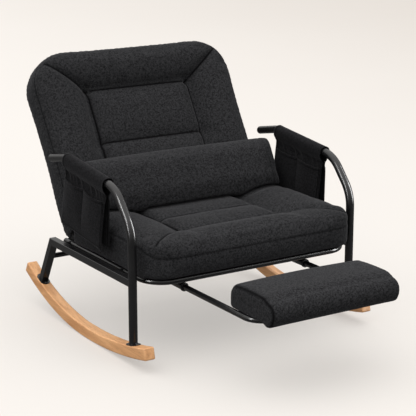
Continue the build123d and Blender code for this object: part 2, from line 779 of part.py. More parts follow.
# Rear half of the back: a padded cover that draws in towards the rear
with BuildPart() as rear_block:
    add(back_outline.sketch)
    extrude(amount=-back_rear)
    fillet(rear_block.faces().sort_by(Axis.Z)[0].edges(), back_rear_edge)
with BuildPart() as back_rear_pad:
    add(rear_block.part.moved(back_plane.location))
    with BuildSketch(back_side):
        with BuildLine():
            roll_mid = back_roll * cos(pi / 4)
            ThreePointArc((-back_roll, 0), (-roll_mid, -roll_mid), (0, -back_roll))
            Polyline(
                (0, -back_roll),
                (back_cells_start, -back_rear),
                (back_top, -back_rear),
                (back_top, 0),
                (-back_roll, 0),
            )
        make_face()
    extrude(amount=back_half_width, both=True, mode=Mode.INTERSECT)
    add(rear_room.part.moved(back_plane.location), mode=Mode.SUBTRACT)
    add(hinge_room.part, mode=Mode.SUBTRACT)
write(back_rear_pad, "back_rear_pad")


def meet(point, heading, other_point, other_heading):
    """Where two lines of the side view cross."""
    cross = heading[0] * other_heading[1] - heading[1] * other_heading[0]
    gap_y = other_point[0] - point[0]
    gap_z = other_point[1] - point[1]
    distance = (gap_y * other_heading[1] - gap_z * other_heading[0]) / cross
    return (point[0] + distance * heading[0], point[1] + distance * heading[1])


def on_back(height, ahead):
    """Side-view point at a height up the back and a distance ahead of the hinge plane."""
    return (hinge_y + height * up_y - ahead * up_z, hinge_z + height * up_z + ahead * up_y)


# Lumbar pillow: leans on the back bolsters and stands on the seat on a base that rolls as the back tilts
pillow_rear = back_seam + back_bolster_rise + soft_gap
pillow_front = pillow_rear + pillow_thickness
base_y = hinge_y - pillow_base_ahead
base_z = seat_top + pillow_gap + pillow_base_radius
front_roll = radians(pillow_front_roll)
rear_roll = radians(pillow_rear_roll)
front_heading = (-cos(front_roll), sin(front_roll))
rear_heading = (cos(rear_roll), sin(rear_roll))
front_touch = (base_y - pillow_base_radius * sin(front_roll), base_z - pillow_base_radius * cos(front_roll))
rear_touch = (base_y + pillow_base_radius * sin(rear_roll), base_z - pillow_base_radius * cos(rear_roll))
pillow_points = (
    meet(front_touch, front_heading, rear_touch, rear_heading),
    meet(rear_touch, rear_heading, on_back(0, pillow_rear), (up_y, up_z)),
    on_back(pillow_height_top, pillow_rear),
    on_back(pillow_height_top, pillow_front),
    meet(front_touch, front_heading, on_back(0, pillow_front), (up_y, up_z)),
)
pillow_rounds = (
    pillow_base_radius,
    pillow_rear_round,
    pillow_top_round,
    pillow_top_round,
    pillow_front_round,
)
with BuildPart() as lumbar_pillow:
    with BuildSketch(Plane.YZ):
        with BuildLine():
            FilletPolyline(*pillow_points, radius=pillow_rounds, close=True)
        make_face()
    extrude(amount=pillow_half_width, both=True)
    pillow_length = pillow_height_top + pillow_low_end
    with BuildSketch(back_plane):
        with Locations((0, pillow_height_top - pillow_length / 2)):
            RectangleRounded(2 * pillow_half_width, pillow_length, pillow_end_round)
    extrude(amount=2 * pillow_front, mode=Mode.INTERSECT)
    with BuildSketch(back_tubes):
        with Locations((0, -(pillow_rear + pillow_front) / 2)):
            RectangleRounded(2 * pillow_half_width, pillow_thickness, pillow_end_depth)
    extrude(amount=2 * pillow_length, both=True, mode=Mode.INTERSECT)
write(lumbar_pillow, "lumbar_pillow")

# Sling pockets: a sleeve on the arm with a hanging panel on each side, each with a split pouch
arm_rise = atan2(tail_bend_z - upper_bend_z, tail_bend_back - upper_bend_back)
arm_heading = (0, cos(arm_rise), sin(arm_rise))
pocket_mid = (pocket_front_back + pocket_rear_back) / 2
pocket_z = upper_bend_z + (pocket_mid - upper_bend_back) * tan(arm_rise)
pocket_length = (pocket_rear_back - pocket_front_back) / cos(arm_rise)
pocket_origin = (side_x, behind(pocket_mid), pocket_z)
pocket_side = Plane(origin=pocket_origin, x_dir=arm_heading, z_dir=(1, 0, 0))
pocket_end = Plane(origin=pocket_origin, x_dir=(1, 0, 0), z_dir=arm_heading)
sleeve_radius = arm_tube_radius + soft_gap + sleeve_thickness
pouch_half = pocket_length / 2 - pouch_margin
room_length = pouch_half - pouch_wall - pouch_wall / 2
with BuildPart() as pocket:
    with BuildSketch(pocket_end):
        Circle(sleeve_radius)
        Circle(arm_tube_radius + soft_gap, mode=Mode.SUBTRACT)
    extrude(amount=pocket_length / 2, both=True)
    for side, pouch_open in ((1, pouch_open_outer), (-1, pouch_open_inner)):
        face_x = side * sleeve_radius
        with BuildSketch(pocket_side.offset(face_x)):
            with Locations((0, -pocket_drop / 2)):
                Rectangle(pocket_length, pocket_drop)
        extrude(amount=-side * panel_thickness)
        open_x = face_x + side * pouch_open
        with BuildSketch(pocket_end):
            Polygon(
                (face_x, pocket_drop),
                (face_x + side * pouch_wall, pocket_drop),
                (open_x + side * pouch_wall, pouch_top),
                (face_x, pouch_top),
                align=None,
            )
        extrude(amount=pouch_half, both=True)
        for room_side in (-1, 1):
            room_start = pocket_end.offset(room_side * pouch_wall / 2)
            with BuildSketch(room_start):
                Polygon((face_x, pocket_drop), (open_x, pouch_top), (face_x, pouch_top), align=None)
            extrude(amount=room_side * room_length, mode=Mode.SUBTRACT)
write_pair(pocket, "armrest_pocket")

# Footrest guides under the seat, with their hangers and bushes
guide_front_y = behind(guide_front_back)
guide_rear_y = behind(guide_rear_back)
guide_front = Plane(origin=(slide_x, guide_front_y, slide_z), x_dir=(1, 0, 0), z_dir=(0, 1, 0))
with BuildPart() as guide_tube:
    with BuildSketch(guide_front):
        Circle(guide_radius)
        Circle(guide_radius - guide_wall, mode=Mode.SUBTRACT)
    extrude(amount=guide_rear_y - guide_front_y)
write_pair(guide_tube, "guide_tube")

with BuildPart() as guide_bush:
    with BuildSketch(guide_front):
        Circle(guide_radius - guide_wall)
    extrude(amount=bush_length)
    with BuildSketch(guide_front):
        Circle(bush_collar_radius)
    extrude(amount=-bush_collar_length)
    with BuildSketch(guide_front.offset(-bush_collar_length)):
        Circle(slide_tube_radius + running_gap)
    extrude(amount=bush_length + bush_collar_length, mode=Mode.SUBTRACT)
both_sides(guide_bush, "guide_bushes")

with BuildPart() as hanger:
    for bar_back in (front_bar_back, middle_bar_back):
        with Locations((slide_x, behind(bar_back), (slide_z + seat_tube_z) / 2)):
            Box(hanger_width, hanger_thickness, seat_tube_z - slide_z)
        with BuildSketch(Plane.YZ.offset(slide_x - hanger_width)):
            with Locations((behind(bar_back), seat_tube_z)):
                Circle(seat_tube_radius)
        extrude(amount=2 * hanger_width, mode=Mode.SUBTRACT)
    with BuildSketch(guide_front):
        Circle(guide_radius)
    extrude(amount=guide_rear_y - guide_front_y, mode=Mode.SUBTRACT)
both_sides(hanger, "guide_hangers")

# Footrest tube: a U that slides in the guides, drawn fully out against its stops
slide_rear_y = guide_front_y + bush_length + soft_gap
slide_front_y = front_leg_y - slide_front_reach
with BuildPart() as footrest_tube:
    with BuildLine(Plane.XY.offset(slide_z)) as slide_path:
        FilletPolyline(
            (slide_x, slide_rear_y),
            (slide_x, slide_front_y),
            (-slide_x, slide_front_y),
            (-slide_x, slide_rear_y),
            radius=slide_corner_radius,
        )
    with BuildSketch(Plane(origin=slide_path.line @ 0, z_dir=slide_path.line % 0)):
        Circle(slide_tube_radius)
        Circle(slide_tube_radius - slide_tube_wall, mode=Mode.SUBTRACT)
    sweep()
write(footrest_tube, "footrest_tube")

slide_end = Plane(origin=slide_path.line @ 0, z_dir=(0, 1, 0))
with BuildPart() as end_plug:
    with BuildSketch(slide_end):
        Circle(guide_radius - guide_wall - plug_gap)
    extrude(amount=plug_length)
    with BuildSketch(slide_end):
        Circle(slide_tube_radius - slide_tube_wall)
    extrude(amount=-plug_stem)
both_sides(end_plug, "slide_end_plugs")

foot_bar_y = front_leg_y - foot_bar_reach
with BuildPart() as footrest_bar:
    with BuildSketch(Plane.YZ):
        with Locations((foot_bar_y, slide_z)):
            Circle(slide_tube_radius)
            Circle(slide_tube_radius - slide_tube_wall, mode=Mode.SUBTRACT)
    extrude(amount=slide_x, both=True)
    with BuildSketch(Plane.XZ.offset(-foot_bar_y)):
        with Locations((-slide_x, slide_z), (slide_x, slide_z)):
            Circle(slide_tube_radius)
    extrude(amount=2 * slide_tube_radius, both=True, mode=Mode.SUBTRACT)
write(footrest_bar, "footrest_bar")

# Footrest board, clipped to the tube and the bar from below
board_bottom = slide_z + slide_tube_radius
board_front_y = slide_front_y - board_front_lip
board_rear_y = foot_bar_y + board_rear_lip
clip_ys = (slide_front_y, foot_bar_y)
flange_mid = slide_tube_radius + clip_thickness + clip_flange / 2
clip_edge = flange_mid + clip_flange / 2
clip_screw_places = []
for clip_y in clip_ys:
    for side in (-1, 1):
        clip_screw_places.append((side * clip_x, clip_y - flange_mid))
        clip_screw_places.append((side * clip_x, clip_y + flange_mid))
with BuildPart() as footrest_board:
    with BuildSketch(Plane.XY.offset(board_bottom)):
        with Locations((0, (board_front_y + board_rear_y) / 2)):
            RectangleRounded(2 * board_half_width, board_rear_y - board_front_y, board_thickness)
        with Locations(*clip_screw_places):
            Circle(clip_screw_radius, mode=Mode.SUBTRACT)
    extrude(amount=board_thickness)
write(footrest_board, "footrest_board")

with BuildPart() as footrest_clips:
    for clip_y in clip_ys:
        for side in (-1, 1):
            with BuildSketch(Plane.YZ.offset(side * clip_x - clip_width / 2)):
                with Locations((clip_y, slide_z)):
                    Circle(slide_tube_radius + clip_thickness)
                with Locations((clip_y, board_bottom - clip_thickness / 2)):
                    Rectangle(2 * clip_edge, clip_thickness)
                with Locations((clip_y, slide_z + slide_tube_radius / 2)):
                    Rectangle(2 * (slide_tube_radius + clip_thickness), slide_tube_radius)
                with Locations((clip_y, slide_z)):
                    Circle(slide_tube_radius, mode=Mode.SUBTRACT)
                with Locations((clip_y, slide_z + slide_tube_radius / 2)):
                    Rectangle(2 * slide_tube_radius, slide_tube_radius, mode=Mode.SUBTRACT)
                with Locations((clip_y, board_bottom)):
                    clip_room = 2 * clip_edge
                    Rectangle(clip_room, clip_room, align=(Align.CENTER, Align.MAX), mode=Mode.INTERSECT)
            extrude(amount=clip_width)
    with BuildSketch(Plane.XY.offset(board_bottom)):
        with Locations(*clip_screw_places):
            Circle(clip_screw_radius)
    extrude(amount=-clip_thickness, mode=Mode.SUBTRACT)
write(footrest_clips, "footrest_clips")

with BuildPart() as footrest_screws:
    with BuildSketch(Plane.XY.offset(board_bottom - clip_thickness)):
        with Locations(*clip_screw_places):
            Circle(clip_screw_radius)
    extrude(amount=clip_screw_length)
    with BuildSketch(Plane.XY.offset(board_bottom - clip_thickness)):
        with Locations(*clip_screw_places):
            Circle(clip_screw_head)
    extrude(amount=-clip_screw_head_height, taper=screw_head_slope)
write(footrest_screws, "footrest_screws")

# Footrest pad: a cushion over the board whose top rolls down to a low nose at the front
pad_front_y = board_front_y - pad_front_lip
pad_rear_y = board_rear_y + pad_rear_lip
pad_top = board_bottom + pad_height
nose_y = pad_front_y + pad_nose_length
nose_z = board_bottom + pad_nose_lift
with BuildPart() as footrest_pad:
    with BuildSketch(Plane.YZ):
        with BuildLine():
            nose = EllipticalCenterArc((nose_y, nose_z), pad_nose_length, pad_top - nose_z, 90, arc_size=90)
            FilletPolyline((pad_rear_y, board_bottom), (pad_rear_y, pad_top), nose @ 0, radius=pad_rear_round)
            Polyline(nose @ 1, (pad_front_y, board_bottom), (pad_rear_y, board_bottom))
        make_face()
    extrude(amount=pad_half_width, both=True)
    for end_face in (footrest_pad.faces().sort_by(Axis.X)[0], footrest_pad.faces().sort_by(Axis.X)[-1]):
        fillet(end_face.edges().sort_by(Axis.Z)[1:], pad_end_round)
    with BuildSketch(Plane.XY.offset(board_bottom)):
        with Locations((0, (board_front_y + board_rear_y) / 2)):
            RectangleRounded(2 * board_half_width, board_rear_y - board_front_y, board_thickness)
    extrude(amount=board_thickness, mode=Mode.SUBTRACT)
write(footrest_pad, "footrest_pad")
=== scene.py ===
"""Looks of the reclining rocking chair: soft goods, materials, camera and light round its frame."""

import json
import math

import bmesh
import bpy
import numpy as np
from mathutils import Matrix, Vector
from mathutils.bvhtree import BVHTree

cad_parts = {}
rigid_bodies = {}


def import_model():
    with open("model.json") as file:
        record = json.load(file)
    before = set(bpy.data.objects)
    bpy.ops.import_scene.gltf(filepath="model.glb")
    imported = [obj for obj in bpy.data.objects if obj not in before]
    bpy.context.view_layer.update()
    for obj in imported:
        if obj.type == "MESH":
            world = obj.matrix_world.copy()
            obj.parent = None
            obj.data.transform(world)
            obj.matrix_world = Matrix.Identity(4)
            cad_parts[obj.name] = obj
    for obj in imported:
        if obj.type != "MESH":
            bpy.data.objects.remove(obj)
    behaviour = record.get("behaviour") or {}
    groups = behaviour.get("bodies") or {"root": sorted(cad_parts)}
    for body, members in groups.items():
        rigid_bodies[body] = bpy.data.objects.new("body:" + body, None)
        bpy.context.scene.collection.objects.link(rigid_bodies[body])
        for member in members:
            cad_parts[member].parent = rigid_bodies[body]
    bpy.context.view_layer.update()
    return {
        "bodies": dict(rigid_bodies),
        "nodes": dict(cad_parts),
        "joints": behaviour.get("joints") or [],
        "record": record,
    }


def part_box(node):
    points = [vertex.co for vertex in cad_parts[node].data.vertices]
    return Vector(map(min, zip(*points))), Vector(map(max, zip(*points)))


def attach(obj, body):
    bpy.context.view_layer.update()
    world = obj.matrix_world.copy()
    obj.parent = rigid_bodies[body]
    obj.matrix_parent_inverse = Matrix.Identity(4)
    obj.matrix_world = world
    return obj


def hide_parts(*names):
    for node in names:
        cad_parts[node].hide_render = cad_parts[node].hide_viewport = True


# Camera, in metres and degrees
CAMERA_AZIMUTH = -32.43
CAMERA_ELEVATION = 15.0
CAMERA_PLACE = (-2.4984, -3.9898, 1.6452)
CAMERA_LENS = 123.68
CAMERA_SENSOR = 36.0
CAMERA_REACH = 100.0

# Light: the dome's bright direction, its strength across and along it, the softboxes' places and widths
DOME_AXIS = (-0.10, 0.0, 0.995)
DOME_LOW = 0.22
DOME_HIGH = 2.3
SOFTBOXES = {"right_softbox": ((3.0, -1.9, 1.7), 1.1), "left_softbox": ((-3.2, -0.6, 1.9), 0.5)}
SOFTBOX_HEIGHT = 2.8
SOFTBOX_POWER = 90.0
LIGHT_AIM = Vector((0, 0, 0.45))

# Floor, with the light that it gives by itself and the run over which painted shade turns it darker
FLOOR_SIZE = 80.0
FLOOR_GLOW = 1.15
FLOOR_SHADE_RUN = 8.0

# Colours: dark and light yarn of the cloths, light and dark grain of the woods
CUSHION_COLOURS = ((0.009, 0.009, 0.0099), (0.043, 0.0437, 0.0463))
SLING_COLOURS = ((0.006, 0.006, 0.0066), (0.020, 0.020, 0.0214))
WEBBING_COLOURS = ((0.008, 0.008, 0.009), (0.022, 0.022, 0.023))
OAK_COLOURS = ((0.84, 0.455, 0.205), (0.57, 0.26, 0.098))
PLYWOOD_COLOURS = ((0.56, 0.40, 0.24), (0.40, 0.26, 0.14))
PAINT_BLACK = (0.008, 0.008, 0.0086)
ZINC_GREY = (0.03, 0.03, 0.031)
PLASTIC_BLACK = (0.012, 0.012, 0.013)
# Floor colours: pale, and darker where painted shade darkens it towards +X
FLOOR_COLOURS = ((0.362, 0.348, 0.333), (0.292, 0.275, 0.258))

# Cushions: pressure in the cover, its furthest movement, and the share of filling
SEAT_SOFTNESS = {"pressure": 3.0, "cap": 0.010}
BACK_SOFTNESS = {"pressure": 3.0, "cap": 0.010}
PILLOW_SOFTNESS = {"pressure": 2.0, "cap": 0.006}
FILL = {"seat": 0.8, "back": 0.8, "pillow": 0.7, "pad": 0.9}

# The covers' cloth, and how near a seam or how level a point is held
COVER_FRAMES = 16
COVER_QUALITY = 4
COVER_MASS = 0.25
COVER_STIFFNESS = 12
COVER_BENDING = 0.4
COVER_STRETCH = 0.015
HELD_SHARE = 0.4
RESTS_BELOW = -0.7
PRESSED_ABOVE = 0.3

# Sewing: how deep and wide a seam draws the cover in, how strongly its stitch line bites in and takes
# painted shade, how much it puckers
MITRE_SEWING = {"depth": 0.007, "width": 0.014}
PANEL_SEWING = {"depth": 0.006, "width": 0.016}
CHANNEL_SEWING = {"depth": 0.005, "width": 0.020}
SEAT_RIM_SEWING = {"depth": 0.001, "width": 0.008, "stitch": 0.6, "pucker": 0.0003}
BACK_RIM_SEWING = {"depth": 0.003, "width": 0.009, "stitch": 0.7, "pucker": 0.0006}
BACK_REAR_SEWING = {"depth": 0.002, "width": 0.009, "stitch": 0.5, "pucker": 0.0004}
PUCKER_WAVES = ((310, 1.0, 0.0), (523, 0.6, 1.3), (137, 0.5, 0.4))
PUCKER_REACH = 0.012
STITCH_WIDTH = 0.0035
STITCH_BITE = 0.0018

# Sewn lines die out where a cushion's side turns away from them, and rim seams on its faces
SEAM_FADE = 0.05
SEAM_FACING = 0.8
RIM_FACING = 0.93
END_FACING = 0.97

# Run over which a rim seam climbs from the front to the sides
CLIMB_RUN = 0.09

# Share of a corner's radius between the corner's tip and its arc, along each side
CORNER_INSET = 1 - math.sqrt(0.5)

# Seat cushion, in metres
FRONT_LEG_Y = -0.2885
SEAT_HALF = 0.398
SEAT_FRONT = FRONT_LEG_Y - 0.076
SEAT_REAR = FRONT_LEG_Y + 0.463
SEAT_CORNER = 0.080
SEAT_SEAM_FRONT = 0.350
SEAT_SEAM_SIDE = 0.375
SEAT_RIM_INSET = 0.045
SEAT_RIM_REAR = 0.030
SEAT_PANEL_HALF = 0.190
SEAT_PANEL_FRONT = FRONT_LEG_Y + 0.085
SEAT_PANEL_SEAM = FRONT_LEG_Y + 0.235
SEAT_BOTTOM = 0.2804
SEAT_DRAW_IN = 0.005
SEAT_SIDE_LIMIT = 0.3945
SEAT_PRESSED_FROM = 0.045

# The seat cover's lower side edges, and the crests of its side bolsters
SKIRT_START = 0.386
SKIRT_TOP = 0.32
SKIRT_DROP = 0.010
BOLSTER_MIDDLE = 0.298
BOLSTER_PUFF = 0.007
BOLSTER_FADE_REAR = 0.06
BOLSTER_FADE_FRONT = 0.12

# Back cushion, measured up the back and forwards from the hinge plane
RECLINE = math.radians(31.2)
BACK_HALF = 0.396
BACK_TOP = 0.605
BACK_CORNER = 0.140
BACK_SEAM = 0.040
BACK_REAR_SEAM = -0.037
BACK_RIM_INSET = 0.050
BACK_RIM_LOW = -1.0
BACK_HELD_BELOW = 0.030
BACK_PANEL_HALF = 0.204
BACK_PANEL_TOP = 0.449
BACK_PANEL_SEAM = 0.251
BACK_PANEL_LOW = 0.060

# Lumbar pillow: its slump, and how it rests on the seat
PILLOW_HALF = 0.388
PILLOW_SLUMP = 0.024
PILLOW_SLUMP_WAY = (0, -0.40, -0.92)
PILLOW_SLUMP_POWER = 1.5
PILLOW_LOW = 0.46
PILLOW_HELD_BELOW = 0.425
PILLOW_GAP = 0.0006
PILLOW_CAST_FROM = 0.6
SEAT_UPWARD = 0.2

# The pillow's folds, across and up the back, and the seam round each end
FOLD_MIDDLE = (0.02, 0.07)
FOLD_REACH = (0.05, 0.09)
FOLD_LEAN = 0.25
FOLD_WAVES = ((260, 1.0, 0.0), (145, 0.6, 0.8))
FOLD_HEIGHT = 0.0018
END_SEAM_INSET = 0.035
END_SEAM_SLANT = 0.10
END_SEAM_MIDDLE = 0.14
END_SEAM_RUN = 0.06
END_SEAM_BITE = 0.0015
# Painted shade along the seam round each end of the pillow
END_SEAM_SHADE = 0.3

# Footrest pad
PAD_HALF = 0.237
PAD_END = 0.014
PAD_CROWN = 0.005
PAD_DOME = 0.007
PAD_FULLNESS = 1.02
PAD_REAR_ROLL = 0.030
PAD_SEAM_SHARE = 0.4
PAD_SEAM_BITE = 0.0014

# The pad's nose: its middle behind the front and above the bottom, its sag, and the lip beside the board
PAD_NOSE_DEPTH = 0.040
PAD_NOSE_LEVEL = 0.036
PAD_NOSE_BLEND = 0.020
PAD_SAG = 0.010
PAD_SAG_FROM = 0.062
PAD_LIP_LEVEL = 0.010
PAD_LIP_HALF = 0.206

# Sling pockets, measured along the arm, down from its axis and outwards
ARM_X = 0.425
ARM_RISE = math.atan2(0.034, 0.336)
POCKET_PLACE = (FRONT_LEG_Y + 0.2865, 0.5689)
POCKET_LENGTH = 0.2784
POCKET_DROP = 0.222
SLEEVE_RADIUS = 0.0172
SLEEVE_HEM = 0.034
SLEEVE_THICK = 0.0012
SLEEVE_STEP = 0.0008
SLEEVE_STITCH = 0.001
CLOTH_THICK = 0.0016
HEM_WIDTH = 0.009
HEM_THICK = 0.0009
SLING_STITCH = 0.0014
# Painted shade along the sling's sewn lines
SLING_STITCH_SHADE = 0.8
SADDLE_GRID = (121, 181)

# How far the hanging panels are drawn in below the tube, and over which drop
PINCH = {"outer": 0.011, "inner": 0.012}
PINCH_FROM = 0.010
PINCH_FULL = 0.040
INNER_FOOT_PINCH = 0.55
PANEL_WAIST = 0.012

# Gathers below the sleeve and the drape of the panels: wave lengths, slants, seeds and depths
GATHERS = (0.051, 0.074, 0.119)
GATHER_SLANT = 0.5
GATHER_SHIFT = 0.3
GATHER_SEED = 11
GATHER_LEVEL = 0.050
GATHER_RUN = 0.014
GATHER_DEPTH = 0.0080
DRAPES = (0.083, 0.127, 0.210)
DRAPE_SHIFT = 0.1
DRAPE_SEED = 17
DRAPE_OUT = 0.0018
DRAPE_DOWN = 0.0015

# Pouches: place on the panel, slack of the openings, folds and stitches
POUCH_TOP = 0.060
POUCH_FOOT = 0.004
POUCH_MARGIN = 0.006
POUCH_OFFSET = 0.0032
POUCH_SCOOP = 0.004
POUCH_OPEN = {"outer": 0.009, "inner": 0.007}
POUCH_HEM_THICK = 0.0012
POUCH_ROUNDNESS = 0.8
POUCH_TAPER = 1.2
POUCH_BELLY = 0.0030
POUCH_FOLDS = 0.0016
POUCH_FOLD_SLANT = 0.3
POUCH_FOLD_SHIFT = 0.5
POUCH_FOLD_SEED = 23
POUCH_SIDE_STITCH = 0.004
POUCH_FOOT_STITCH = 0.005
POUCH_GRID = (131, 71)

# Webbing under the seat
STRAP_WIDTH = 0.050
STRAP_THICK = 0.0012
STRAP_BOTTOM = 0.278
STRAP_COUNT = 5
STRAP_STEPS = 97
STRAP_CROSSING = 0.6
LONG_STRAP_SPREAD = 0.28
CROSS_STRAP_SPREAD = 0.20
CROSS_STRAP_MID = FRONT_LEG_Y + 0.254


def make_camera():
    """Camera at the photograph's place and angle."""
    azimuth = math.radians(CAMERA_AZIMUTH)
    elevation = math.radians(CAMERA_ELEVATION)
    flat = math.cos(elevation)
    back = Vector((math.sin(azimuth) * flat, -math.cos(azimuth) * flat, math.sin(elevation)))
    data = bpy.data.cameras.new("camera")
    data.lens = CAMERA_LENS
    data.sensor_width = CAMERA_SENSOR
    data.clip_end = CAMERA_REACH
    camera = bpy.data.objects.new("camera", data)
    camera.location = CAMERA_PLACE
    camera.rotation_mode = "QUATERNION"
    camera.rotation_quaternion = (-back).to_track_quat("-Z", "Y")
    bpy.context.scene.collection.objects.link(camera)
    bpy.context.scene.camera = camera


def make_light():
    """Soft studio light: a dome brighter overhead, and on each side a tall softbox, seen in gloss."""
    world = bpy.data.worlds.new("studio")
    world.use_nodes = True
    tree = world.node_tree
    background = tree.nodes["Background"]
    background.inputs["Color"].default_value = (1.0, 0.985, 0.965, 1)
    way = tree.nodes.new("ShaderNodeTexCoord")
    along = tree.nodes.new("ShaderNodeVectorMath")
    along.operation = "DOT_PRODUCT"
    along.inputs[1].default_value = DOME_AXIS
    strength = tree.nodes.new("ShaderNodeMapRange")
    strength.inputs["To Min"].default_value = DOME_LOW
    strength.inputs["To Max"].default_value = DOME_HIGH
    tree.links.new(way.outputs["Generated"], along.inputs[0])
    tree.links.new(along.outputs["Value"], strength.inputs["Value"])
    tree.links.new(strength.outputs["Result"], background.inputs["Strength"])
    bpy.context.scene.world = world
    for name, (place, width) in SOFTBOXES.items():
        data = bpy.data.lights.new(name, "AREA")
        data.shape = "RECTANGLE"
        data.size = width
        data.size_y = SOFTBOX_HEIGHT
        data.energy = SOFTBOX_POWER * width * SOFTBOX_HEIGHT
        lamp = bpy.data.objects.new(name, data)
        lamp.visible_diffuse = False
        lamp.location = place
        lamp.rotation_mode = "QUATERNION"
        lamp.rotation_quaternion = (LIGHT_AIM - Vector(place)).to_track_quat("-Z", "Y")
        bpy.context.scene.collection.objects.link(lamp)
    bpy.context.scene.view_settings.view_transform = "Standard"


def material(name, roughness):
    """New node material with its shader, and short ways to add nodes and links."""
    made = bpy.data.materials.new(name)
    made.use_nodes = True
    tree = made.node_tree
    shader = tree.nodes["Principled BSDF"]
    shader.inputs["Roughness"].default_value = roughness

    def node(kind, **values):
        added = tree.nodes.new(kind)
        for key, value in values.items():
            if key in added.inputs:
                added.inputs[key].default_value = value
            else:
                setattr(added, key, value)
        return added

    def link(start, end):
        tree.links.new(start, end)

    return made, shader, node, link


def ramp(node, low, high, start=0.3, end=0.7):
    """Colour ramp between two colours."""
    made = node("ShaderNodeValToRGB")
    made.color_ramp.elements[0].position = start
    made.color_ramp.elements[0].color = (*low, 1)
    made.color_ramp.elements[1].position = end
    made.color_ramp.elements[1].color = (*high, 1)
    return made


def fabric_material(name, dark, light, weave):
    """Brushed upholstery cloth: mottled yarn, fine weave, soft fuzz, and painted shade along its sewn
    seams.
    """
    made, shader, node, link = material(name, 0.95)
    place = node("ShaderNodeTexCoord")
    mottle = node("ShaderNodeTexNoise", Scale=150.0, Detail=4.0, Roughness=0.75)
    fleck = node("ShaderNodeTexNoise", Scale=380.0, Detail=2.0, Roughness=0.6)
    yarn = node("ShaderNodeTexNoise", Scale=weave, Detail=2.0, Roughness=0.6)
    for texture in (mottle, fleck, yarn):
        link(place.outputs["Object"], texture.inputs["Vector"])
    tone = node("ShaderNodeMix")
    tone.inputs["Factor"].default_value = 0.45
    link(mottle.outputs["Fac"], tone.inputs["A"])
    link(fleck.outputs["Fac"], tone.inputs["B"])
    colours = ramp(node, dark, light, 0.40, 0.60)
    link(tone.outputs["Result"], colours.inputs["Fac"])
    # Painted shade: the seam attribute darkens the cloth along its sewn creases
    seam = node("ShaderNodeAttribute", attribute_name="seam")
    seam_shade_mix = node("ShaderNodeMix", data_type="RGBA")
    seam_shade_mix.inputs["B"].default_value = (*(0.3 * c for c in dark), 1)
    link(seam.outputs["Fac"], seam_shade_mix.inputs["Factor"])
    link(colours.outputs["Color"], seam_shade_mix.inputs["A"])
    link(seam_shade_mix.outputs["Result"], shader.inputs["Base Color"])
    coarse = node("ShaderNodeBump", Strength=0.35, Distance=0.0012)
    fine = node("ShaderNodeBump", Strength=0.5, Distance=0.0006)
    link(mottle.outputs["Fac"], coarse.inputs["Height"])
    link(yarn.outputs["Fac"], fine.inputs["Height"])
    link(coarse.outputs["Normal"], fine.inputs["Normal"])
    link(fine.outputs["Normal"], shader.inputs["Normal"])
    shader.inputs["Sheen Weight"].default_value = 0.16
    shader.inputs["Sheen Roughness"].default_value = 0.35
    shader.inputs["Sheen Tint"].default_value = (0.60, 0.60, 0.63, 1)
    shader.inputs["Specular IOR Level"].default_value = 0.0
    return made


def paint_material(name, colour, roughness, metallic):
    """Satin powder coat or bare metal with a faint orange peel and uneven gloss."""
    made, shader, node, link = material(name, roughness)
    place = node("ShaderNodeTexCoord")
    peel = node("ShaderNodeTexNoise", Scale=900.0, Detail=2.0)
    smear = node("ShaderNodeTexNoise", Scale=14.0, Detail=4.0)
    link(place.outputs["Object"], peel.inputs["Vector"])
    link(place.outputs["Object"], smear.inputs["Vector"])
    gloss = node("ShaderNodeMapRange")
    gloss.inputs["To Min"].default_value = roughness - 0.03
    gloss.inputs["To Max"].default_value = roughness + 0.04
    link(smear.outputs["Fac"], gloss.inputs["Value"])
    link(gloss.outputs["Result"], shader.inputs["Roughness"])
    tones = ramp(node, [0.8 * c for c in colour], [1.25 * c for c in colour])
    link(smear.outputs["Fac"], tones.inputs["Fac"])
    link(tones.outputs["Color"], shader.inputs["Base Color"])
    bump = node("ShaderNodeBump", Strength=0.04, Distance=0.0002)
    link(peel.outputs["Fac"], bump.inputs["Height"])
    link(bump.outputs["Normal"], shader.inputs["Normal"])
    shader.inputs["Metallic"].default_value = metallic
    shader.inputs["Specular IOR Level"].default_value = 0.4
    return made


def wood_material(name, light, dark, stretch):
    """Oiled wood with growth rings drawn out along the runner and short dark pores."""
    made, shader, node, link = material(name, 0.5)
    place = node("ShaderNodeTexCoord")
    along = node("ShaderNodeMapping")
    along.inputs["Scale"].default_value = stretch
    link(place.outputs["Object"], along.inputs["Vector"])
    rings = node("ShaderNodeTexNoise", Scale=1.0, Detail=5.0, Roughness=0.6, Distortion=0.6)
    pores = node("ShaderNodeTexNoise", Scale=9.0, Detail=3.0, Roughness=0.7)
    link(along.outputs["Vector"], rings.inputs["Vector"])
    link(along.outputs["Vector"], pores.inputs["Vector"])
    tones = ramp(node, dark, light, 0.32, 0.62)
    link(rings.outputs["Fac"], tones.inputs["Fac"])
    spots = node("ShaderNodeMapRange")
    spots.inputs["From Min"].default_value = 0.56
    spots.inputs["From Max"].default_value = 0.7
    spots.inputs["To Max"].default_value = 0.55
    link(pores.outputs["Fac"], spots.inputs["Value"])
    grain = node("ShaderNodeMix", data_type="RGBA")
    grain.inputs["B"].default_value = (*(0.55 * c for c in dark), 1)
    link(spots.outputs["Result"], grain.inputs["Factor"])
    link(tones.outputs["Color"], grain.inputs["A"])
    link(grain.outputs["Result"], shader.inputs["Base Color"])
    bump = node("ShaderNodeBump", Strength=0.12, Distance=0.0005)
    link(pores.outputs["Fac"], bump.inputs["Height"])
    link(bump.outputs["Normal"], shader.inputs["Normal"])
    return made


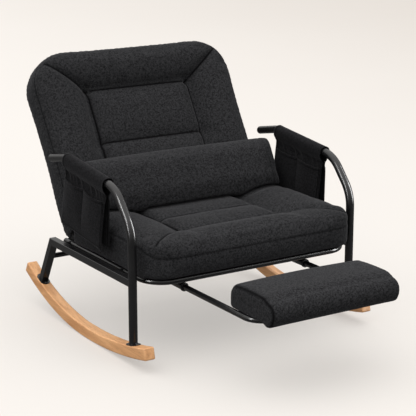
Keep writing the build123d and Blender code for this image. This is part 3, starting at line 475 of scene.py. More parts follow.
def floor_material():
    """Pale seamless studio floor, lit from within so that shadows on it stay light."""
    made, shader, node, link = material("pale_floor", 0.9)
    place = node("ShaderNodeTexCoord")
    split = node("ShaderNodeSeparateXYZ")
    link(place.outputs["Object"], split.inputs["Vector"])
    # Painted shade: the floor's colour darkens from x = 0 towards +X
    away = node("ShaderNodeMapRange", interpolation_type="SMOOTHSTEP")
    away.inputs["From Max"].default_value = FLOOR_SHADE_RUN
    link(split.outputs["X"], away.inputs["Value"])
    cloud = node("ShaderNodeTexNoise", Scale=0.7, Detail=2.0)
    link(place.outputs["Object"], cloud.inputs["Vector"])
    tone = node("ShaderNodeMath", operation="MULTIPLY_ADD")
    tone.inputs[1].default_value = 0.1
    link(cloud.outputs["Fac"], tone.inputs[0])
    link(away.outputs["Result"], tone.inputs[2])
    tones = ramp(node, *FLOOR_COLOURS, start=0.05, end=1.0)
    link(tone.outputs[0], tones.inputs["Fac"])
    link(tones.outputs["Color"], shader.inputs["Base Color"])
    link(tones.outputs["Color"], shader.inputs["Emission Color"])
    shader.inputs["Emission Strength"].default_value = FLOOR_GLOW
    shader.inputs["Specular IOR Level"].default_value = 0.0
    return made


def make_floor():
    """Plain pale floor that reaches past the camera's view and throws no light back at the chair."""
    bpy.ops.mesh.primitive_plane_add(size=FLOOR_SIZE)
    floor = bpy.context.object
    floor.name = "floor"
    floor.data.materials.append(floor_material())
    floor.visible_diffuse = False
    floor.visible_glossy = False


def smooth(share):
    """Share from 0 to 1 with soft ends."""
    share = np.clip(share, 0, 1)
    return share * share * (3 - 2 * share)


class Sheet2D:
    """A drawing plane: an origin, two directions in it and its normal."""

    def __init__(self, origin, across, up):
        self.origin = np.array(origin, float)
        self.axes = np.array([across, up, np.cross(across, up)], float)

    def local(self, points):
        """Points of the frame in this plane's own directions."""
        return (points - self.origin) @ self.axes.T

    def facing(self, normals):
        """How far each normal points along the plane's normal."""
        return normals @ self.axes[2]


class Seam:
    """A sewn line on a cushion: drawn on a plane, or at one level round the rim."""

    def __init__(self, sheet, points=None, level=None, rim=None, climb=0.0, **sewing):
        self.sheet = sheet
        self.points = points
        self.level = level
        self.rim = rim
        self.climb = climb
        self.depth = sewing.get("depth", 0.006)
        self.width = sewing.get("width", 0.016)
        # Strength of the stitch line's bite and of its painted shade
        self.stitch = sewing.get("stitch", 1.0)
        self.pucker = sewing.get("pucker", 0.0)

    def reach(self, points, normals):
        """Distance of each point from the seam, and how far along it the nearest point lies."""
        local = self.sheet.local(points)
        facing = self.sheet.facing(normals)
        if self.level is not None:
            half, low, high = self.rim
            level = self.level + self.climb * smooth((local[:, 1] - low) / CLIMB_RUN + 0.5)
            away = np.abs(local[:, 2] - level)
            inside = (np.abs(local[:, 0]) < half) & (local[:, 1] > low) & (local[:, 1] < high)
            along = local[:, 0] + local[:, 1]
            return np.where(inside | (np.abs(facing) > RIM_FACING), 1.0, away), along
        away = np.full(len(local), 1.0)
        along = np.zeros(len(local))
        run = 0.0
        for start, end in zip(self.points, self.points[1:]):
            start = np.array(start)
            leg = np.array(end) - start
            length = np.linalg.norm(leg)
            share = np.clip((local[:, :2] - start) @ leg / length**2, 0, 1)
            gap = np.linalg.norm(local[:, :2] - start - share[:, None] * leg, axis=1)
            nearer = gap < away
            away = np.where(nearer, gap, away)
            along = np.where(nearer, run + share * length, along)
            run += length
        return away + SEAM_FADE * np.clip((SEAM_FACING - facing) / SEAM_FACING, 0, 1), along


class EndSeam:
    """The seam between the cover and the end panel of a pad, at one place across."""

    def __init__(self, x, stitch=0.9, pucker=0.0002):
        self.x = x
        self.stitch = stitch
        self.pucker = pucker

    def reach(self, points, normals):
        """Distance of each point from the seam, and how far round it the point lies."""
        away = np.abs(points[:, 0] - self.x)
        along = points[:, 1] + points[:, 2]
        return np.where(np.abs(normals[:, 0]) > END_FACING, 1.0, away), along


def mesh_points(obj):
    """Vertex places and normals as arrays."""
    count = len(obj.data.vertices)
    points = np.zeros(count * 3, np.float32)
    normals = np.zeros(count * 3, np.float32)
    obj.data.vertices.foreach_get("co", points)
    obj.data.vertices.foreach_get("normal", normals)
    return points.reshape(-1, 3).astype(float), normals.reshape(-1, 3).astype(float)


def set_points(obj, points):
    """Writes vertex places back."""
    obj.data.vertices.foreach_set("co", points.astype(np.float32).ravel())
    obj.data.update()


def settle(obj):
    """Replaces the mesh by what its modifiers make of it."""
    graph = bpy.context.evaluated_depsgraph_get()
    made = bpy.data.meshes.new_from_object(obj.evaluated_get(graph))
    obj.modifiers.clear()
    obj.data = made


def modifier(obj, kind, **values):
    """Adds a modifier and sets its values."""
    added = obj.modifiers.new(kind.lower(), kind)
    for key, value in values.items():
        setattr(added, key, value)
    return added


def keep_outer(obj):
    """Deletes every island of the mesh but the largest."""
    made = bmesh.new()
    made.from_mesh(obj.data)
    left = set(made.verts)
    islands = []
    while left:
        stack = [left.pop()]
        island = list(stack)
        while stack:
            for edge in stack.pop().link_edges:
                for vert in edge.verts:
                    if vert in left:
                        left.remove(vert)
                        stack.append(vert)
                        island.append(vert)
        islands.append(island)
    islands.sort(key=len)
    for island in islands[:-1]:
        bmesh.ops.delete(made, geom=island, context="VERTS")
    made.to_mesh(obj.data)
    made.free()


def cushion_from(name, nodes, voxel, rounds):
    """A closed, evenly meshed copy of CAD soft solids, without their inner faces."""
    joined = bmesh.new()
    for node in nodes:
        joined.from_mesh(node.data)
    mesh = bpy.data.meshes.new(name)
    joined.to_mesh(mesh)
    joined.free()
    obj = bpy.data.objects.new(name, mesh)
    bpy.context.scene.collection.objects.link(obj)
    modifier(obj, "REMESH", mode="VOXEL", voxel_size=voxel, use_smooth_shade=True)
    settle(obj)
    keep_outer(obj)
    modifier(obj, "SMOOTH", factor=0.5, iterations=rounds)
    settle(obj)
    return obj


def sew(obj, seams):
    """Draws the cloth in along its seams."""
    points, normals = mesh_points(obj)
    for seam in seams:
        away, _ = seam.reach(points, normals)
        points -= normals * (seam.depth * np.exp(-((away / seam.width) ** 2)))[:, None]
    set_points(obj, points)


def even_out(obj, values, rounds=8):
    """Averages values over neighbouring points, so that no single point stands out."""
    ends = np.zeros(2 * len(obj.data.edges), np.int32)
    obj.data.edges.foreach_get("vertices", ends)
    first, second = ends[::2], ends[1::2]
    count = np.bincount(ends, minlength=len(values))[:, None]
    for _ in range(rounds):
        total = np.zeros_like(values)
        np.add.at(total, first, values[second])
        np.add.at(total, second, values[first])
        values = 0.5 * values + 0.5 * total / count
    return values


def inflate(obj, seams, rests, pressure, cap):
    """Cloth under pressure, held along its seams and where it rests. No point moves past the cap."""
    points, normals = mesh_points(obj)
    held = rests(points, normals)
    for seam in seams:
        away, _ = seam.reach(points, normals)
        held = held | (away < HELD_SHARE * seam.width)
    group = obj.vertex_groups.new(name="held")
    group.add(np.nonzero(held)[0].tolist(), 1.0, "REPLACE")
    cloth = obj.modifiers.new("cloth", "CLOTH")
    settings = cloth.settings
    settings.quality = COVER_QUALITY
    settings.mass = COVER_MASS
    settings.use_pressure = True
    settings.uniform_pressure_force = pressure
    settings.shrink_min = -COVER_STRETCH
    settings.tension_stiffness = COVER_STIFFNESS
    settings.compression_stiffness = COVER_STIFFNESS
    settings.bending_stiffness = COVER_BENDING
    settings.vertex_group_mass = "held"
    settings.effector_weights.gravity = 0
    cloth.point_cache.frame_start = 1
    cloth.point_cache.frame_end = COVER_FRAMES
    for frame in range(1, COVER_FRAMES + 1):
        bpy.context.scene.frame_set(frame)
    settle(obj)
    bpy.context.scene.frame_set(1)
    moved, _ = mesh_points(obj)
    shift = even_out(obj, moved - points)
    length = np.linalg.norm(shift, axis=1, keepdims=True)
    shift *= cap * np.tanh(length / cap) / np.maximum(length, 1e-9)
    set_points(obj, points + shift)


def ripple(along, parts):
    """Sum of sine waves, each given by its wave number, height and phase."""
    return sum(height * np.sin(along * number + phase) for number, height, phase in parts)


def paint_seam_shade(obj, seam_shade):
    """Keeps the painted shade of each point along its sewn lines, for the cloth's material."""
    attribute = obj.data.attributes.new("seam", "FLOAT", "POINT")
    attribute.data.foreach_set("value", np.asarray(seam_shade, np.float32))


def crease(obj, seams, bite=STITCH_BITE):
    """Thin sewn lines, bitten in and darkened with painted shade, and the small puckers beside them, on
    the subdivided cloth.
    """
    modifier(obj, "SUBSURF", levels=1, render_levels=1)
    settle(obj)
    points, normals = mesh_points(obj)
    seam_shade = np.zeros(len(points))
    lift = np.zeros(len(points))
    for seam in seams:
        away, along = seam.reach(points, normals)
        near = np.exp(-((away / STITCH_WIDTH) ** 2))
        # Painted shade along each sewn line, kept for the cloth's material
        seam_shade = np.maximum(seam_shade, seam.stitch * near)
        lift -= bite * seam.stitch * near
        band = np.exp(-(((away - PUCKER_REACH) / PUCKER_REACH) ** 2))
        lift += seam.pucker * ripple(along, PUCKER_WAVES) * band
    set_points(obj, points + normals * lift[:, None])
    paint_seam_shade(obj, seam_shade)


def dress(obj, cloth):
    """Cloth and smooth shading."""
    obj.data.materials.clear()
    obj.data.materials.append(cloth)
    obj.data.polygons.foreach_set("use_smooth", [True] * len(obj.data.polygons))


def finish_cushion(obj, body, cloth, fill, *nodes):
    """Cloth, body and the CAD nodes that a cushion stands for."""
    dress(obj, cloth)
    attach(obj, body)
    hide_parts(*nodes)


def corner_point(half, corner, edge, inward):
    """Where a mitre seam meets a rounded corner."""
    return (half - corner * CORNER_INSET, edge + inward * corner * CORNER_INSET)


def mirrored(points):
    """The same line on the other side of the middle plane."""
    return [(-x, y) for x, y in points]


def seat_seams():
    """Sewn lines of the seat: panel, channel, mitres and the boxing seam round the rim."""
    top = Sheet2D((0, 0, 0), (1, 0, 0), (0, 1, 0))
    mitre = [(SEAT_PANEL_HALF, SEAT_PANEL_FRONT), corner_point(SEAT_HALF, SEAT_CORNER, SEAT_FRONT, 1)]
    side = [(SEAT_PANEL_HALF, SEAT_PANEL_FRONT), (SEAT_PANEL_HALF, SEAT_REAR)]
    front = [(-SEAT_PANEL_HALF, SEAT_PANEL_FRONT), (SEAT_PANEL_HALF, SEAT_PANEL_FRONT)]
    channel = [(-SEAT_PANEL_HALF, SEAT_PANEL_SEAM), (SEAT_PANEL_HALF, SEAT_PANEL_SEAM)]
    rim = (SEAT_HALF - SEAT_RIM_INSET, SEAT_FRONT + SEAT_RIM_INSET, SEAT_REAR - SEAT_RIM_REAR)
    climb = SEAT_SEAM_SIDE - SEAT_SEAM_FRONT
    return [
        Seam(top, mitre, **MITRE_SEWING),
        Seam(top, mirrored(mitre), **MITRE_SEWING),
        Seam(top, side, **PANEL_SEWING),
        Seam(top, mirrored(side), **PANEL_SEWING),
        Seam(top, front, **PANEL_SEWING),
        Seam(top, channel, **CHANNEL_SEWING),
        Seam(top, level=SEAT_SEAM_FRONT, rim=rim, climb=climb, **SEAT_RIM_SEWING),
    ]


def back_sheet(hinge):
    """Drawing plane of the back: across, and up the back from the hinge."""
    return Sheet2D(hinge, (1, 0, 0), (0, math.sin(RECLINE), math.cos(RECLINE)))


def back_seams(sheet):
    """Sewn lines of the back: panel, cross seam, mitres and the two seams of its boxing."""
    mitre = [(BACK_PANEL_HALF, BACK_PANEL_TOP), corner_point(BACK_HALF, BACK_CORNER, BACK_TOP, -1)]
    side = [(BACK_PANEL_HALF, BACK_PANEL_LOW), (BACK_PANEL_HALF, BACK_PANEL_TOP)]
    top = [(-BACK_PANEL_HALF, BACK_PANEL_TOP), (BACK_PANEL_HALF, BACK_PANEL_TOP)]
    cross = [(-BACK_PANEL_HALF, BACK_PANEL_SEAM), (BACK_PANEL_HALF, BACK_PANEL_SEAM)]
    rim = (BACK_HALF - BACK_RIM_INSET, BACK_RIM_LOW, BACK_TOP - BACK_RIM_INSET)
    return [
        Seam(sheet, mitre, **MITRE_SEWING),
        Seam(sheet, mirrored(mitre), **MITRE_SEWING),
        Seam(sheet, side, **PANEL_SEWING),
        Seam(sheet, mirrored(side), **PANEL_SEWING),
        Seam(sheet, top, **PANEL_SEWING),
        Seam(sheet, cross, **PANEL_SEWING),
        Seam(sheet, level=BACK_SEAM, rim=rim, **BACK_RIM_SEWING),
        Seam(sheet, level=BACK_REAR_SEAM, rim=rim, **BACK_REAR_SEWING),
    ]


def hang_skirt(seat):
    """Lets the cover's lower side edges hang past the outside of the seat tube."""
    points, _ = mesh_points(seat)
    run = SEAT_HALF - SEAT_DRAW_IN - SKIRT_START
    outside = np.clip((np.abs(points[:, 0]) - SKIRT_START) / run, 0, 1)
    low = np.clip((SKIRT_TOP - points[:, 2]) / (SKIRT_TOP - SEAT_BOTTOM), 0, 1)
    points[:, 2] -= SKIRT_DROP * outside * low
    set_points(seat, points)


def puff_bolsters(seat):
    """Fills the side bolsters out along their crests, ahead of the pillow."""
    points, normals = mesh_points(seat)
    across = (np.abs(points[:, 0]) - BOLSTER_MIDDLE) / (SEAT_HALF - BOLSTER_MIDDLE)
    ahead = smooth((SEAT_PRESSED_FROM - points[:, 1]) / BOLSTER_FADE_REAR)
    behind = smooth((points[:, 1] - SEAT_FRONT) / BOLSTER_FADE_FRONT)
    lift = BOLSTER_PUFF * np.clip(1 - across**2, 0, 1) * (ahead * behind) * np.clip(normals[:, 2], 0, 1)
    points[:, 2] += lift
    set_points(seat, points)


def seat_rests(points, normals):
    """Where the seat lies on its frame, and where the pillow presses on it."""
    pressed = (points[:, 1] > SEAT_PRESSED_FROM) & (normals[:, 2] > PRESSED_ABOVE)
    return (normals[:, 2] < RESTS_BELOW) | pressed


def make_seat(nodes, cloth):
    """Seat cushion with bolsters mitred round a lower panel."""
    seams = seat_seams()
    seat = cushion_from("seat_cushion_soft", [nodes["seat_cushion"]], voxel=0.007, rounds=12)
    hang_skirt(seat)
    puff_bolsters(seat)
    sew(seat, seams)
    inflate(seat, seams, seat_rests, **SEAT_SOFTNESS)
    points, _ = mesh_points(seat)
    points[:, 0] = np.clip(points[:, 0], -SEAT_SIDE_LIMIT, SEAT_SIDE_LIMIT)
    set_points(seat, points)
    crease(seat, seams)
    finish_cushion(seat, "root", cloth, FILL["seat"], "seat_cushion")
    return seat


def make_back(nodes, cloth, hinge):
    """Padded back, front and rear halves in one cover."""
    sheet = back_sheet(hinge)
    seams = back_seams(sheet)
    halves = [nodes["back_cushion"], nodes["back_rear_pad"]]

    def back_rests(points, normals):
        return sheet.local(points)[:, 1] < BACK_HELD_BELOW

    back = cushion_from("back_soft", halves, voxel=0.007, rounds=10)
    sew(back, seams)
    inflate(back, seams, back_rests, **BACK_SOFTNESS)
    crease(back, seams)
    finish_cushion(back, "back", cloth, FILL["back"], "back_cushion", "back_rear_pad")


def seat_tree(seat):
    """Search tree of the seat's finished surface."""
    return BVHTree.FromObject(seat, bpy.context.evaluated_depsgraph_get())


def joints_by_name(frame):
    """The frame's joints under their names."""
    return {joint["name"]: joint for joint in frame["joints"]}


def pillow_places(frame):
    """Turns and shifts of the pillow over the recline, its limits and rest included."""
    joints = joints_by_name(frame)
    hinge = Vector(joints["back_recline"]["pos_m"])
    axis = Vector(joints["back_recline"]["axis"])
    slide = Vector(joints["pillow_slide"]["axis"])
    ratio = frame["record"]["behaviour"]["couplings"][0]["ratio"]
    low, high = (math.radians(limit) for limit in joints["back_recline"]["range_deg"])
    places = []
    for angle in (0.0, low / 2, low, high / 3, 2 * high / 3, high):
        turn = Matrix.Translation(hinge) @ Matrix.Rotation(angle, 4, axis) @ Matrix.Translation(-hinge)
        places.append(turn @ Matrix.Translation(slide * ratio * angle))
    return places


def rest_on(points, tree, places):
    """Lifts points that would lie below the seat's surface, at rest or further along the recline."""
    for place in places:
        matrix = np.array(place)
        moved = points @ matrix[:3, :3].T + matrix[:3, 3]
        for index in np.nonzero(moved[:, 2] < PILLOW_LOW)[0]:
            above = Vector((moved[index, 0], moved[index, 1], PILLOW_CAST_FROM))
            found, normal, _, _ = tree.ray_cast(above, Vector((0, 0, -1)))
            if found is None or normal.z <= SEAT_UPWARD:
                continue
            lack = found.z + PILLOW_GAP - moved[index, 2]
            if lack > 0:
                points[index] += matrix[2, :3] * lack


def slump(pillow):
    """Points of the pillow, sunk forwards and down as a loose one is."""
    points, normals = mesh_points(pillow)
    way = np.array(PILLOW_SLUMP_WAY)
    facing = np.clip(normals @ way, 0, 1)
    return points + way * (PILLOW_SLUMP * facing**PILLOW_SLUMP_POWER)[:, None]


def middle_folds(local, facing):
    """Lift of the soft folds in the middle of the pillow's front."""
    across = np.exp(-(((local[:, 0] - FOLD_MIDDLE[0]) / FOLD_REACH[0]) ** 2))
    height = np.exp(-(((local[:, 1] - FOLD_MIDDLE[1]) / FOLD_REACH[1]) ** 2))
    lean = local[:, 0] + FOLD_LEAN * local[:, 1]
    return FOLD_HEIGHT * ripple(lean, FOLD_WAVES) * across * height * np.clip(facing, 0, 1)


def near_end_seam(local):
    """How near each point of the pillow is to the seam round its end, from 0 to 1."""
    slant = np.clip(local[:, 2] - END_SEAM_MIDDLE, -END_SEAM_RUN, END_SEAM_RUN)
    edge = PILLOW_HALF - END_SEAM_INSET - END_SEAM_SLANT * slant
    away = np.abs(np.abs(local[:, 0]) - edge)
    return np.exp(-((away / STITCH_WIDTH) ** 2))


def pillow_rests(points, normals):
    """Where the pillow lies on the seat."""
    return points[:, 2] < PILLOW_HELD_BELOW


def make_pillow(nodes, cloth, sheet, seat, places):
    """Loose lumbar pillow: slumped on the seat, with folds in its middle and a seam round each end."""
    pillow = cushion_from("lumbar_pillow_soft", [nodes["lumbar_pillow"]], voxel=0.008, rounds=14)
    points = slump(pillow)
    rest_on(points, seat_tree(seat), places)
    set_points(pillow, points)
    inflate(pillow, [], pillow_rests, **PILLOW_SOFTNESS)
    modifier(pillow, "SUBSURF", levels=1, render_levels=1)
    settle(pillow)
    points, normals = mesh_points(pillow)
    local = sheet.local(points)
    near = near_end_seam(local)
    lift = middle_folds(local, sheet.facing(normals)) - END_SEAM_BITE * near
    points += normals * lift[:, None]
    rest_on(points, seat_tree(seat), places)
    set_points(pillow, points)
    # Painted shade along the seam round each end
    paint_seam_shade(pillow, END_SEAM_SHADE * near)
    finish_cushion(pillow, "pillow", cloth, FILL["pillow"], "lumbar_pillow")


def round_nose(pad, low):
    """Lets the pad's front sag a little and draws its section there to one round nose."""
    points, _ = mesh_points(pad)
    ahead = smooth((low[1] + PAD_SAG_FROM - points[:, 1]) / (PAD_SAG_FROM - PAD_NOSE_DEPTH))
    lip = smooth((low[2] + PAD_LIP_LEVEL - points[:, 2]) / PAD_LIP_LEVEL)
    points[:, 2] -= PAD_SAG * ahead * lip
    centre = np.array([low[1] + PAD_NOSE_DEPTH, low[2] + PAD_NOSE_LEVEL])
    reach = points[:, 1:] - centre
    angle = np.arctan2(reach[:, 1], -reach[:, 0])
    radius = np.linalg.norm(reach, axis=1)
    beside = np.abs(points[:, 0])
    section = np.nonzero((beside > PAD_LIP_HALF) & (beside < PAD_HALF - PAD_END))[0]
    section = section[np.argsort(angle[section])]
    old = np.interp(angle, angle[section], radius[section])
    above, below = np.interp([np.pi / 2, -np.pi / 2], angle[section], radius[section])
    height = np.where(angle > 0, above, below)
    new = 1 / np.hypot(np.cos(angle) / PAD_NOSE_DEPTH, np.sin(angle) / height)
    share = smooth(-reach[:, 0] / PAD_NOSE_BLEND)
    points[:, 1:] = centre + reach * (1 + share * (new / np.maximum(old, 1e-6) - 1))[:, None]
    set_points(pad, points)


def crown_pad(pad, low, high):
    """Crowns the pad's top, fills out its ends and rolls its lower rear edge."""
    points, normals = mesh_points(pad)
    across = np.clip(np.abs(points[:, 0]) / PAD_HALF, 0, 1)
    along = np.clip((2 * points[:, 1] - low[1] - high[1]) / (high[1] - low[1]), -1, 1)
    dome = PAD_CROWN * (1 - across**2) + PAD_DOME * (1 - along**2)
    points[:, 2] += dome * np.clip(normals[:, 2], 0, 1)
    points[:, 0] *= PAD_FULLNESS
    from_centre = points[:, 1:] - np.array([high[1] - PAD_REAR_ROLL, low[2] + PAD_REAR_ROLL])
    distance = np.linalg.norm(from_centre, axis=1)
    in_corner = (from_centre[:, 0] > 0) & (from_centre[:, 1] < 0) & (distance > PAD_REAR_ROLL)
    points[in_corner, 1:] -= from_centre[in_corner] * (1 - PAD_REAR_ROLL / distance[in_corner])[:, None]
    set_points(pad, points)


def make_pad(nodes, cloth):
    """Footrest pad: a crowned cover with a round nose, sewn to a panel at each end."""
    pad = cushion_from("footrest_pad_soft", [nodes["footrest_pad"]], voxel=0.006, rounds=5)
    low, high = (np.array(corner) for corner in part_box("footrest_pad"))
    round_nose(pad, low)
    crown_pad(pad, low, high)
    seam_x = PAD_FULLNESS * PAD_HALF - PAD_SEAM_SHARE * PAD_END
    # Painted shade and a bite along the seam at each end
    crease(pad, [EndSeam(-seam_x), EndSeam(seam_x)], bite=PAD_SEAM_BITE)
    finish_cushion(pad, "footrest", cloth, FILL["pad"], "footrest_pad")


def waves(along, lengths, seed):
    """Uneven soft folds along a line, from a few waves of fixed phases."""
    random = np.random.default_rng(seed)
    total = np.zeros_like(along)
    for length in lengths:
        phase = random.uniform(0, 2 * math.pi)
        height = random.uniform(0.5, 1.0)
        total += height * np.sin(2 * math.pi * along / length + phase)
    return total / len(lengths)


def grid_sheet(name, across, along, shape, shade_along_seams):
    """Cloth from a grid: shape places each grid point, the other function paints shade along its
    stitches.
    """
    u, t = np.meshgrid(across, along)
    points = shape(u, t).reshape(-1, 3)
    columns = len(across)
    faces = []
    for row in range(len(along) - 1):
        for column in range(columns - 1):
            corner = row * columns + column
            faces.append((corner, corner + 1, corner + columns + 1, corner + columns))
    mesh = bpy.data.meshes.new(name)
    mesh.from_pydata(points.tolist(), [], faces)
    obj = bpy.data.objects.new(name, mesh)
    bpy.context.scene.collection.objects.link(obj)
    paint_seam_shade(obj, shade_along_seams(u, t).ravel())
    return obj


def pocket_point(side, u, v, w):
    """Place of a point of a pocket: along the arm, down from its axis, and outwards."""
    rise, run = math.sin(ARM_RISE), math.cos(ARM_RISE)
    y = POCKET_PLACE[0] + u * run + v * rise
    z = POCKET_PLACE[1] + u * rise - v * run
    return np.stack([side * (ARM_X + w), y, z], axis=-1)


def sleeve_profile(t):
    """Down and outward offsets of the cloth saddle at a run t from the top of the arm, and its side."""
    quarter = SLEEVE_RADIUS * math.pi / 2
    hand = np.where(t < 0, -1.0, 1.0)
    run = np.abs(t)
    turn = np.minimum(run, quarter) / SLEEVE_RADIUS
    down = np.where(run < quarter, -SLEEVE_RADIUS * np.cos(turn), run - quarter)
    return down, SLEEVE_RADIUS * np.sin(turn), hand


def pinch(down, hand):
    """How far a hanging panel is drawn in below the tube, on the outer or the inner side."""
    drawn = np.where(hand > 0, PINCH["outer"], PINCH["inner"])
    foot = np.where(hand > 0, 0.0, INNER_FOOT_PINCH)
    fall = np.clip((down - PINCH_FULL) / (POCKET_DROP - PINCH_FULL), 0, 1)
    return drawn * smooth((down - PINCH_FROM) / (PINCH_FULL - PINCH_FROM)) * (1 - (1 - foot) * fall)


def stitch_shade(*distances):
    """Painted shade of the stitches along the nearest of some lines."""
    away = distances[0]
    for distance in distances[1:]:
        away = np.minimum(away, distance)
    return SLING_STITCH_SHADE * np.exp(-((away / SLING_STITCH) ** 2))


def finish_cloth(obj, side, cloth):
    """Thickness, shading and body of a cloth sheet."""
    modifier(obj, "SOLIDIFY", thickness=CLOTH_THICK, offset=-1.0 if side > 0 else 1.0)
    settle(obj)
    dress(obj, cloth)
    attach(obj, "root")


def make_saddle(side, name, cloth):
    """Cloth saddle over an arm: a doubled sleeve, two hanging panels with hems and small gathers."""
    half = POCKET_LENGTH / 2
    length = POCKET_DROP + SLEEVE_RADIUS * math.pi / 2

    def shape(u, t):
        down, out, hand = sleeve_profile(t)
        fall = np.clip(down / POCKET_DROP, 0, 1)
        doubled = 1 / (1 + np.exp((down - SLEEVE_HEM) / SLEEVE_STEP))
        gathers = np.abs(waves(u + GATHER_SLANT * down + GATHER_SHIFT * hand, GATHERS, GATHER_SEED))
        gathers *= np.exp(-(((down - GATHER_LEVEL) / GATHER_RUN) ** 2))
        drape = waves(u + DRAPE_SHIFT * hand, DRAPES, DRAPE_SEED) * fall
        hem = np.maximum(np.abs(u) - (half - HEM_WIDTH), down - (POCKET_DROP - HEM_WIDTH)) > 0
        w = out + SLEEVE_THICK * doubled + HEM_THICK * hem
        w += DRAPE_OUT * drape * (down > 0) - GATHER_DEPTH * gathers
        w -= pinch(down, hand)
        narrow = 1 - PANEL_WAIST * fall * np.sin(fall * math.pi)
        return pocket_point(side, u * narrow, down + DRAPE_DOWN * drape, hand * w)

    # Painted shade along the side, foot and sleeve stitches
    def shade_along_seams(u, t):
        down, _, _ = sleeve_profile(t)
        sides = np.abs(np.abs(u) - (half - HEM_WIDTH))
        foot = np.abs(down - (POCKET_DROP - HEM_WIDTH))
        sleeve = np.abs(down - SLEEVE_HEM - SLEEVE_STITCH)
        return stitch_shade(sides, foot, sleeve)

    across = np.linspace(-half, half, SADDLE_GRID[0])
    along = np.linspace(-length, length, SADDLE_GRID[1])
    saddle = grid_sheet(name, across, along, shape, shade_along_seams)
    finish_cloth(saddle, side, cloth)
    return saddle, (POCKET_LENGTH, 2 * length)


def make_pouch(side, hand, name, cloth):
    """Pouch sheet sewn on a panel at its edges, foot and middle, with two slack openings."""
    half = POCKET_LENGTH / 2 - POUCH_MARGIN
    slack = POUCH_OPEN["outer" if hand > 0 else "inner"]
    depth = POCKET_DROP - POUCH_FOOT - POUCH_TOP
    base = SLEEVE_RADIUS + POUCH_OFFSET

    def bag(u):
        return np.abs(np.sin(math.pi * u / half)) ** POUCH_ROUNDNESS

    def shape(u, s):
        rise = 1 - s / depth
        down = POUCH_TOP + s + POUCH_SCOOP * bag(u) * rise**2
        slanted = u + POUCH_FOLD_SLANT * s + POUCH_FOLD_SHIFT * hand
        folds = waves(slanted, DRAPES, POUCH_FOLD_SEED) * bag(u)
        belly = np.sin(math.pi * np.clip(s / depth, 0, 1))
        w = base + slack * bag(u) * rise**POUCH_TAPER + POUCH_HEM_THICK * (s < HEM_WIDTH)
        w += POUCH_FOLDS * folds * belly + POUCH_BELLY * bag(u) * belly**2
        w -= pinch(down, np.full_like(down, hand))
        return pocket_point(side, u, down, hand * w)

    # Painted shade along the hem, middle, side and foot stitches
    def shade_along_seams(u, s):
        sides = np.abs(np.abs(u) - (half - POUCH_SIDE_STITCH))
        foot = np.abs(s - (depth - POUCH_FOOT_STITCH))
        return stitch_shade(np.abs(s - HEM_WIDTH), np.abs(u), sides, foot)

    across = np.linspace(-half, half, POUCH_GRID[0])
    along = np.linspace(0, depth, POUCH_GRID[1])
    pouch = grid_sheet(name, across, along, shape, shade_along_seams)
    finish_cloth(pouch, side * hand, cloth)
    return pouch, (2 * half, depth)


def make_pockets(cloth):
    """Sling pockets on both arms."""
    for side, word in ((1, "left"), (-1, "right")):
        saddle, flat = make_saddle(side, f"pocket_saddle_{word}", cloth)
        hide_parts(f"armrest_pocket_{word}")
        for hand, place in ((1, "outer"), (-1, "inner")):
            pouch, flat = make_pouch(side, hand, f"pocket_pouch_{place}_{word}", cloth)


def strap(made, axis, place, others, number, middle, reach):
    """One strap along an axis, rising and falling by its own thickness at each crossing."""
    steps = np.linspace(-reach[axis], reach[axis], STRAP_STEPS)
    level = np.zeros_like(steps)
    for index, other in enumerate(others):
        sign = 1 if (index + number + axis) % 2 else -1
        level += sign * np.exp(-(((steps - other) / (STRAP_CROSSING * STRAP_WIDTH)) ** 4))
    rows = []
    for step, lift in zip(steps, level):
        row = []
        for edge, face in ((-1, 0), (1, 0), (1, 1), (-1, 1)):
            point = [0, 0, STRAP_BOTTOM + 0.5 * STRAP_THICK * (1 + lift) + face * STRAP_THICK]
            point[axis] = middle[axis] + step
            point[1 - axis] = middle[1 - axis] + place + edge * STRAP_WIDTH / 2
            row.append(made.verts.new(point))
        rows.append(row)
    for first, second in zip(rows, rows[1:]):
        for corner in range(4):
            after = (corner + 1) % 4
            made.faces.new((first[corner], first[after], second[after], second[corner]))
    made.faces.new(rows[0][::-1])
    made.faces.new(rows[-1])
    bmesh.ops.recalc_face_normals(made, faces=made.faces)


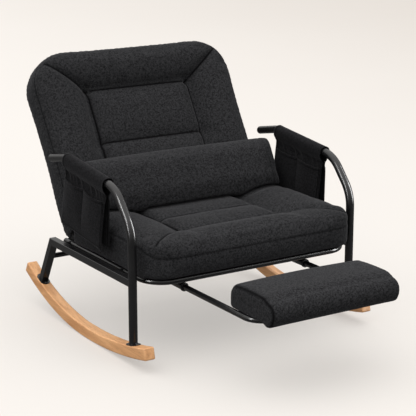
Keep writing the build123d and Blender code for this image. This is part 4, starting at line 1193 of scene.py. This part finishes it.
def make_webbing(cloth):
    """Interlaced straps under the seat cushion, each passing over and under the crossing ones."""
    low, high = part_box("seat_webbing")
    middle = [(low[axis] + high[axis]) / 2 for axis in range(2)]
    reach = [(high[axis] - low[axis]) / 2 for axis in range(2)]
    mesh = bpy.data.meshes.new("seat_webbing_straps")
    made = bmesh.new()
    long_places = np.linspace(-LONG_STRAP_SPREAD, LONG_STRAP_SPREAD, STRAP_COUNT)
    cross_places = np.linspace(-CROSS_STRAP_SPREAD, CROSS_STRAP_SPREAD, STRAP_COUNT)
    cross_places += CROSS_STRAP_MID - middle[1]
    for axis, places, others in ((1, long_places, cross_places), (0, cross_places, long_places)):
        for number, place in enumerate(places):
            strap(made, axis, place, others, number, middle, reach)
    made.to_mesh(mesh)
    made.free()
    straps = bpy.data.objects.new("seat_webbing_straps", mesh)
    bpy.context.scene.collection.objects.link(straps)
    mesh.materials.append(cloth)
    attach(straps, "root")
    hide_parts("seat_webbing")


def dress_cad(frame):
    """Materials for the CAD nodes that stay in view, by their slot in the record."""
    made = {
        "charcoal_fabric": fabric_material("sling_cloth", *SLING_COLOURS, weave=1400.0),
        "webbing": fabric_material("black_webbing", *WEBBING_COLOURS, weave=700.0),
        "black_steel": paint_material("gloss_black_paint", PAINT_BLACK, roughness=0.24, metallic=0.0),
        "steel_fasteners": paint_material("dark_zinc", ZINC_GREY, roughness=0.42, metallic=0.9),
        "black_plastic": paint_material("black_plastic", PLASTIC_BLACK, roughness=0.55, metallic=0.0),
        "oak": wood_material("oiled_oak", *OAK_COLOURS, stretch=(38.0, 3.2, 38.0)),
        "plywood": wood_material("raw_plywood", *PLYWOOD_COLOURS, stretch=(3.0, 40.0, 60.0)),
    }
    for row in frame["record"]["subparts"]:
        node = frame["nodes"][row["node"]]
        node.data.materials.clear()
        node.data.materials.append(made[row["material_slot"]])
    return made


def main():
    """Loads the frame, sets the stage, and dresses and cushions the chair."""
    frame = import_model()
    make_camera()
    make_light()
    make_floor()
    made = dress_cad(frame)
    nodes = frame["nodes"]
    cloth = fabric_material("charcoal_chenille", *CUSHION_COLOURS, weave=1100.0)
    hinge = joints_by_name(frame)["back_recline"]["pos_m"]
    seat = make_seat(nodes, cloth)
    make_back(nodes, cloth, hinge)
    make_pillow(nodes, cloth, back_sheet(hinge), seat, pillow_places(frame))
    make_pad(nodes, cloth)
    make_pockets(made["charcoal_fabric"])
    make_webbing(made["webbing"])


main()
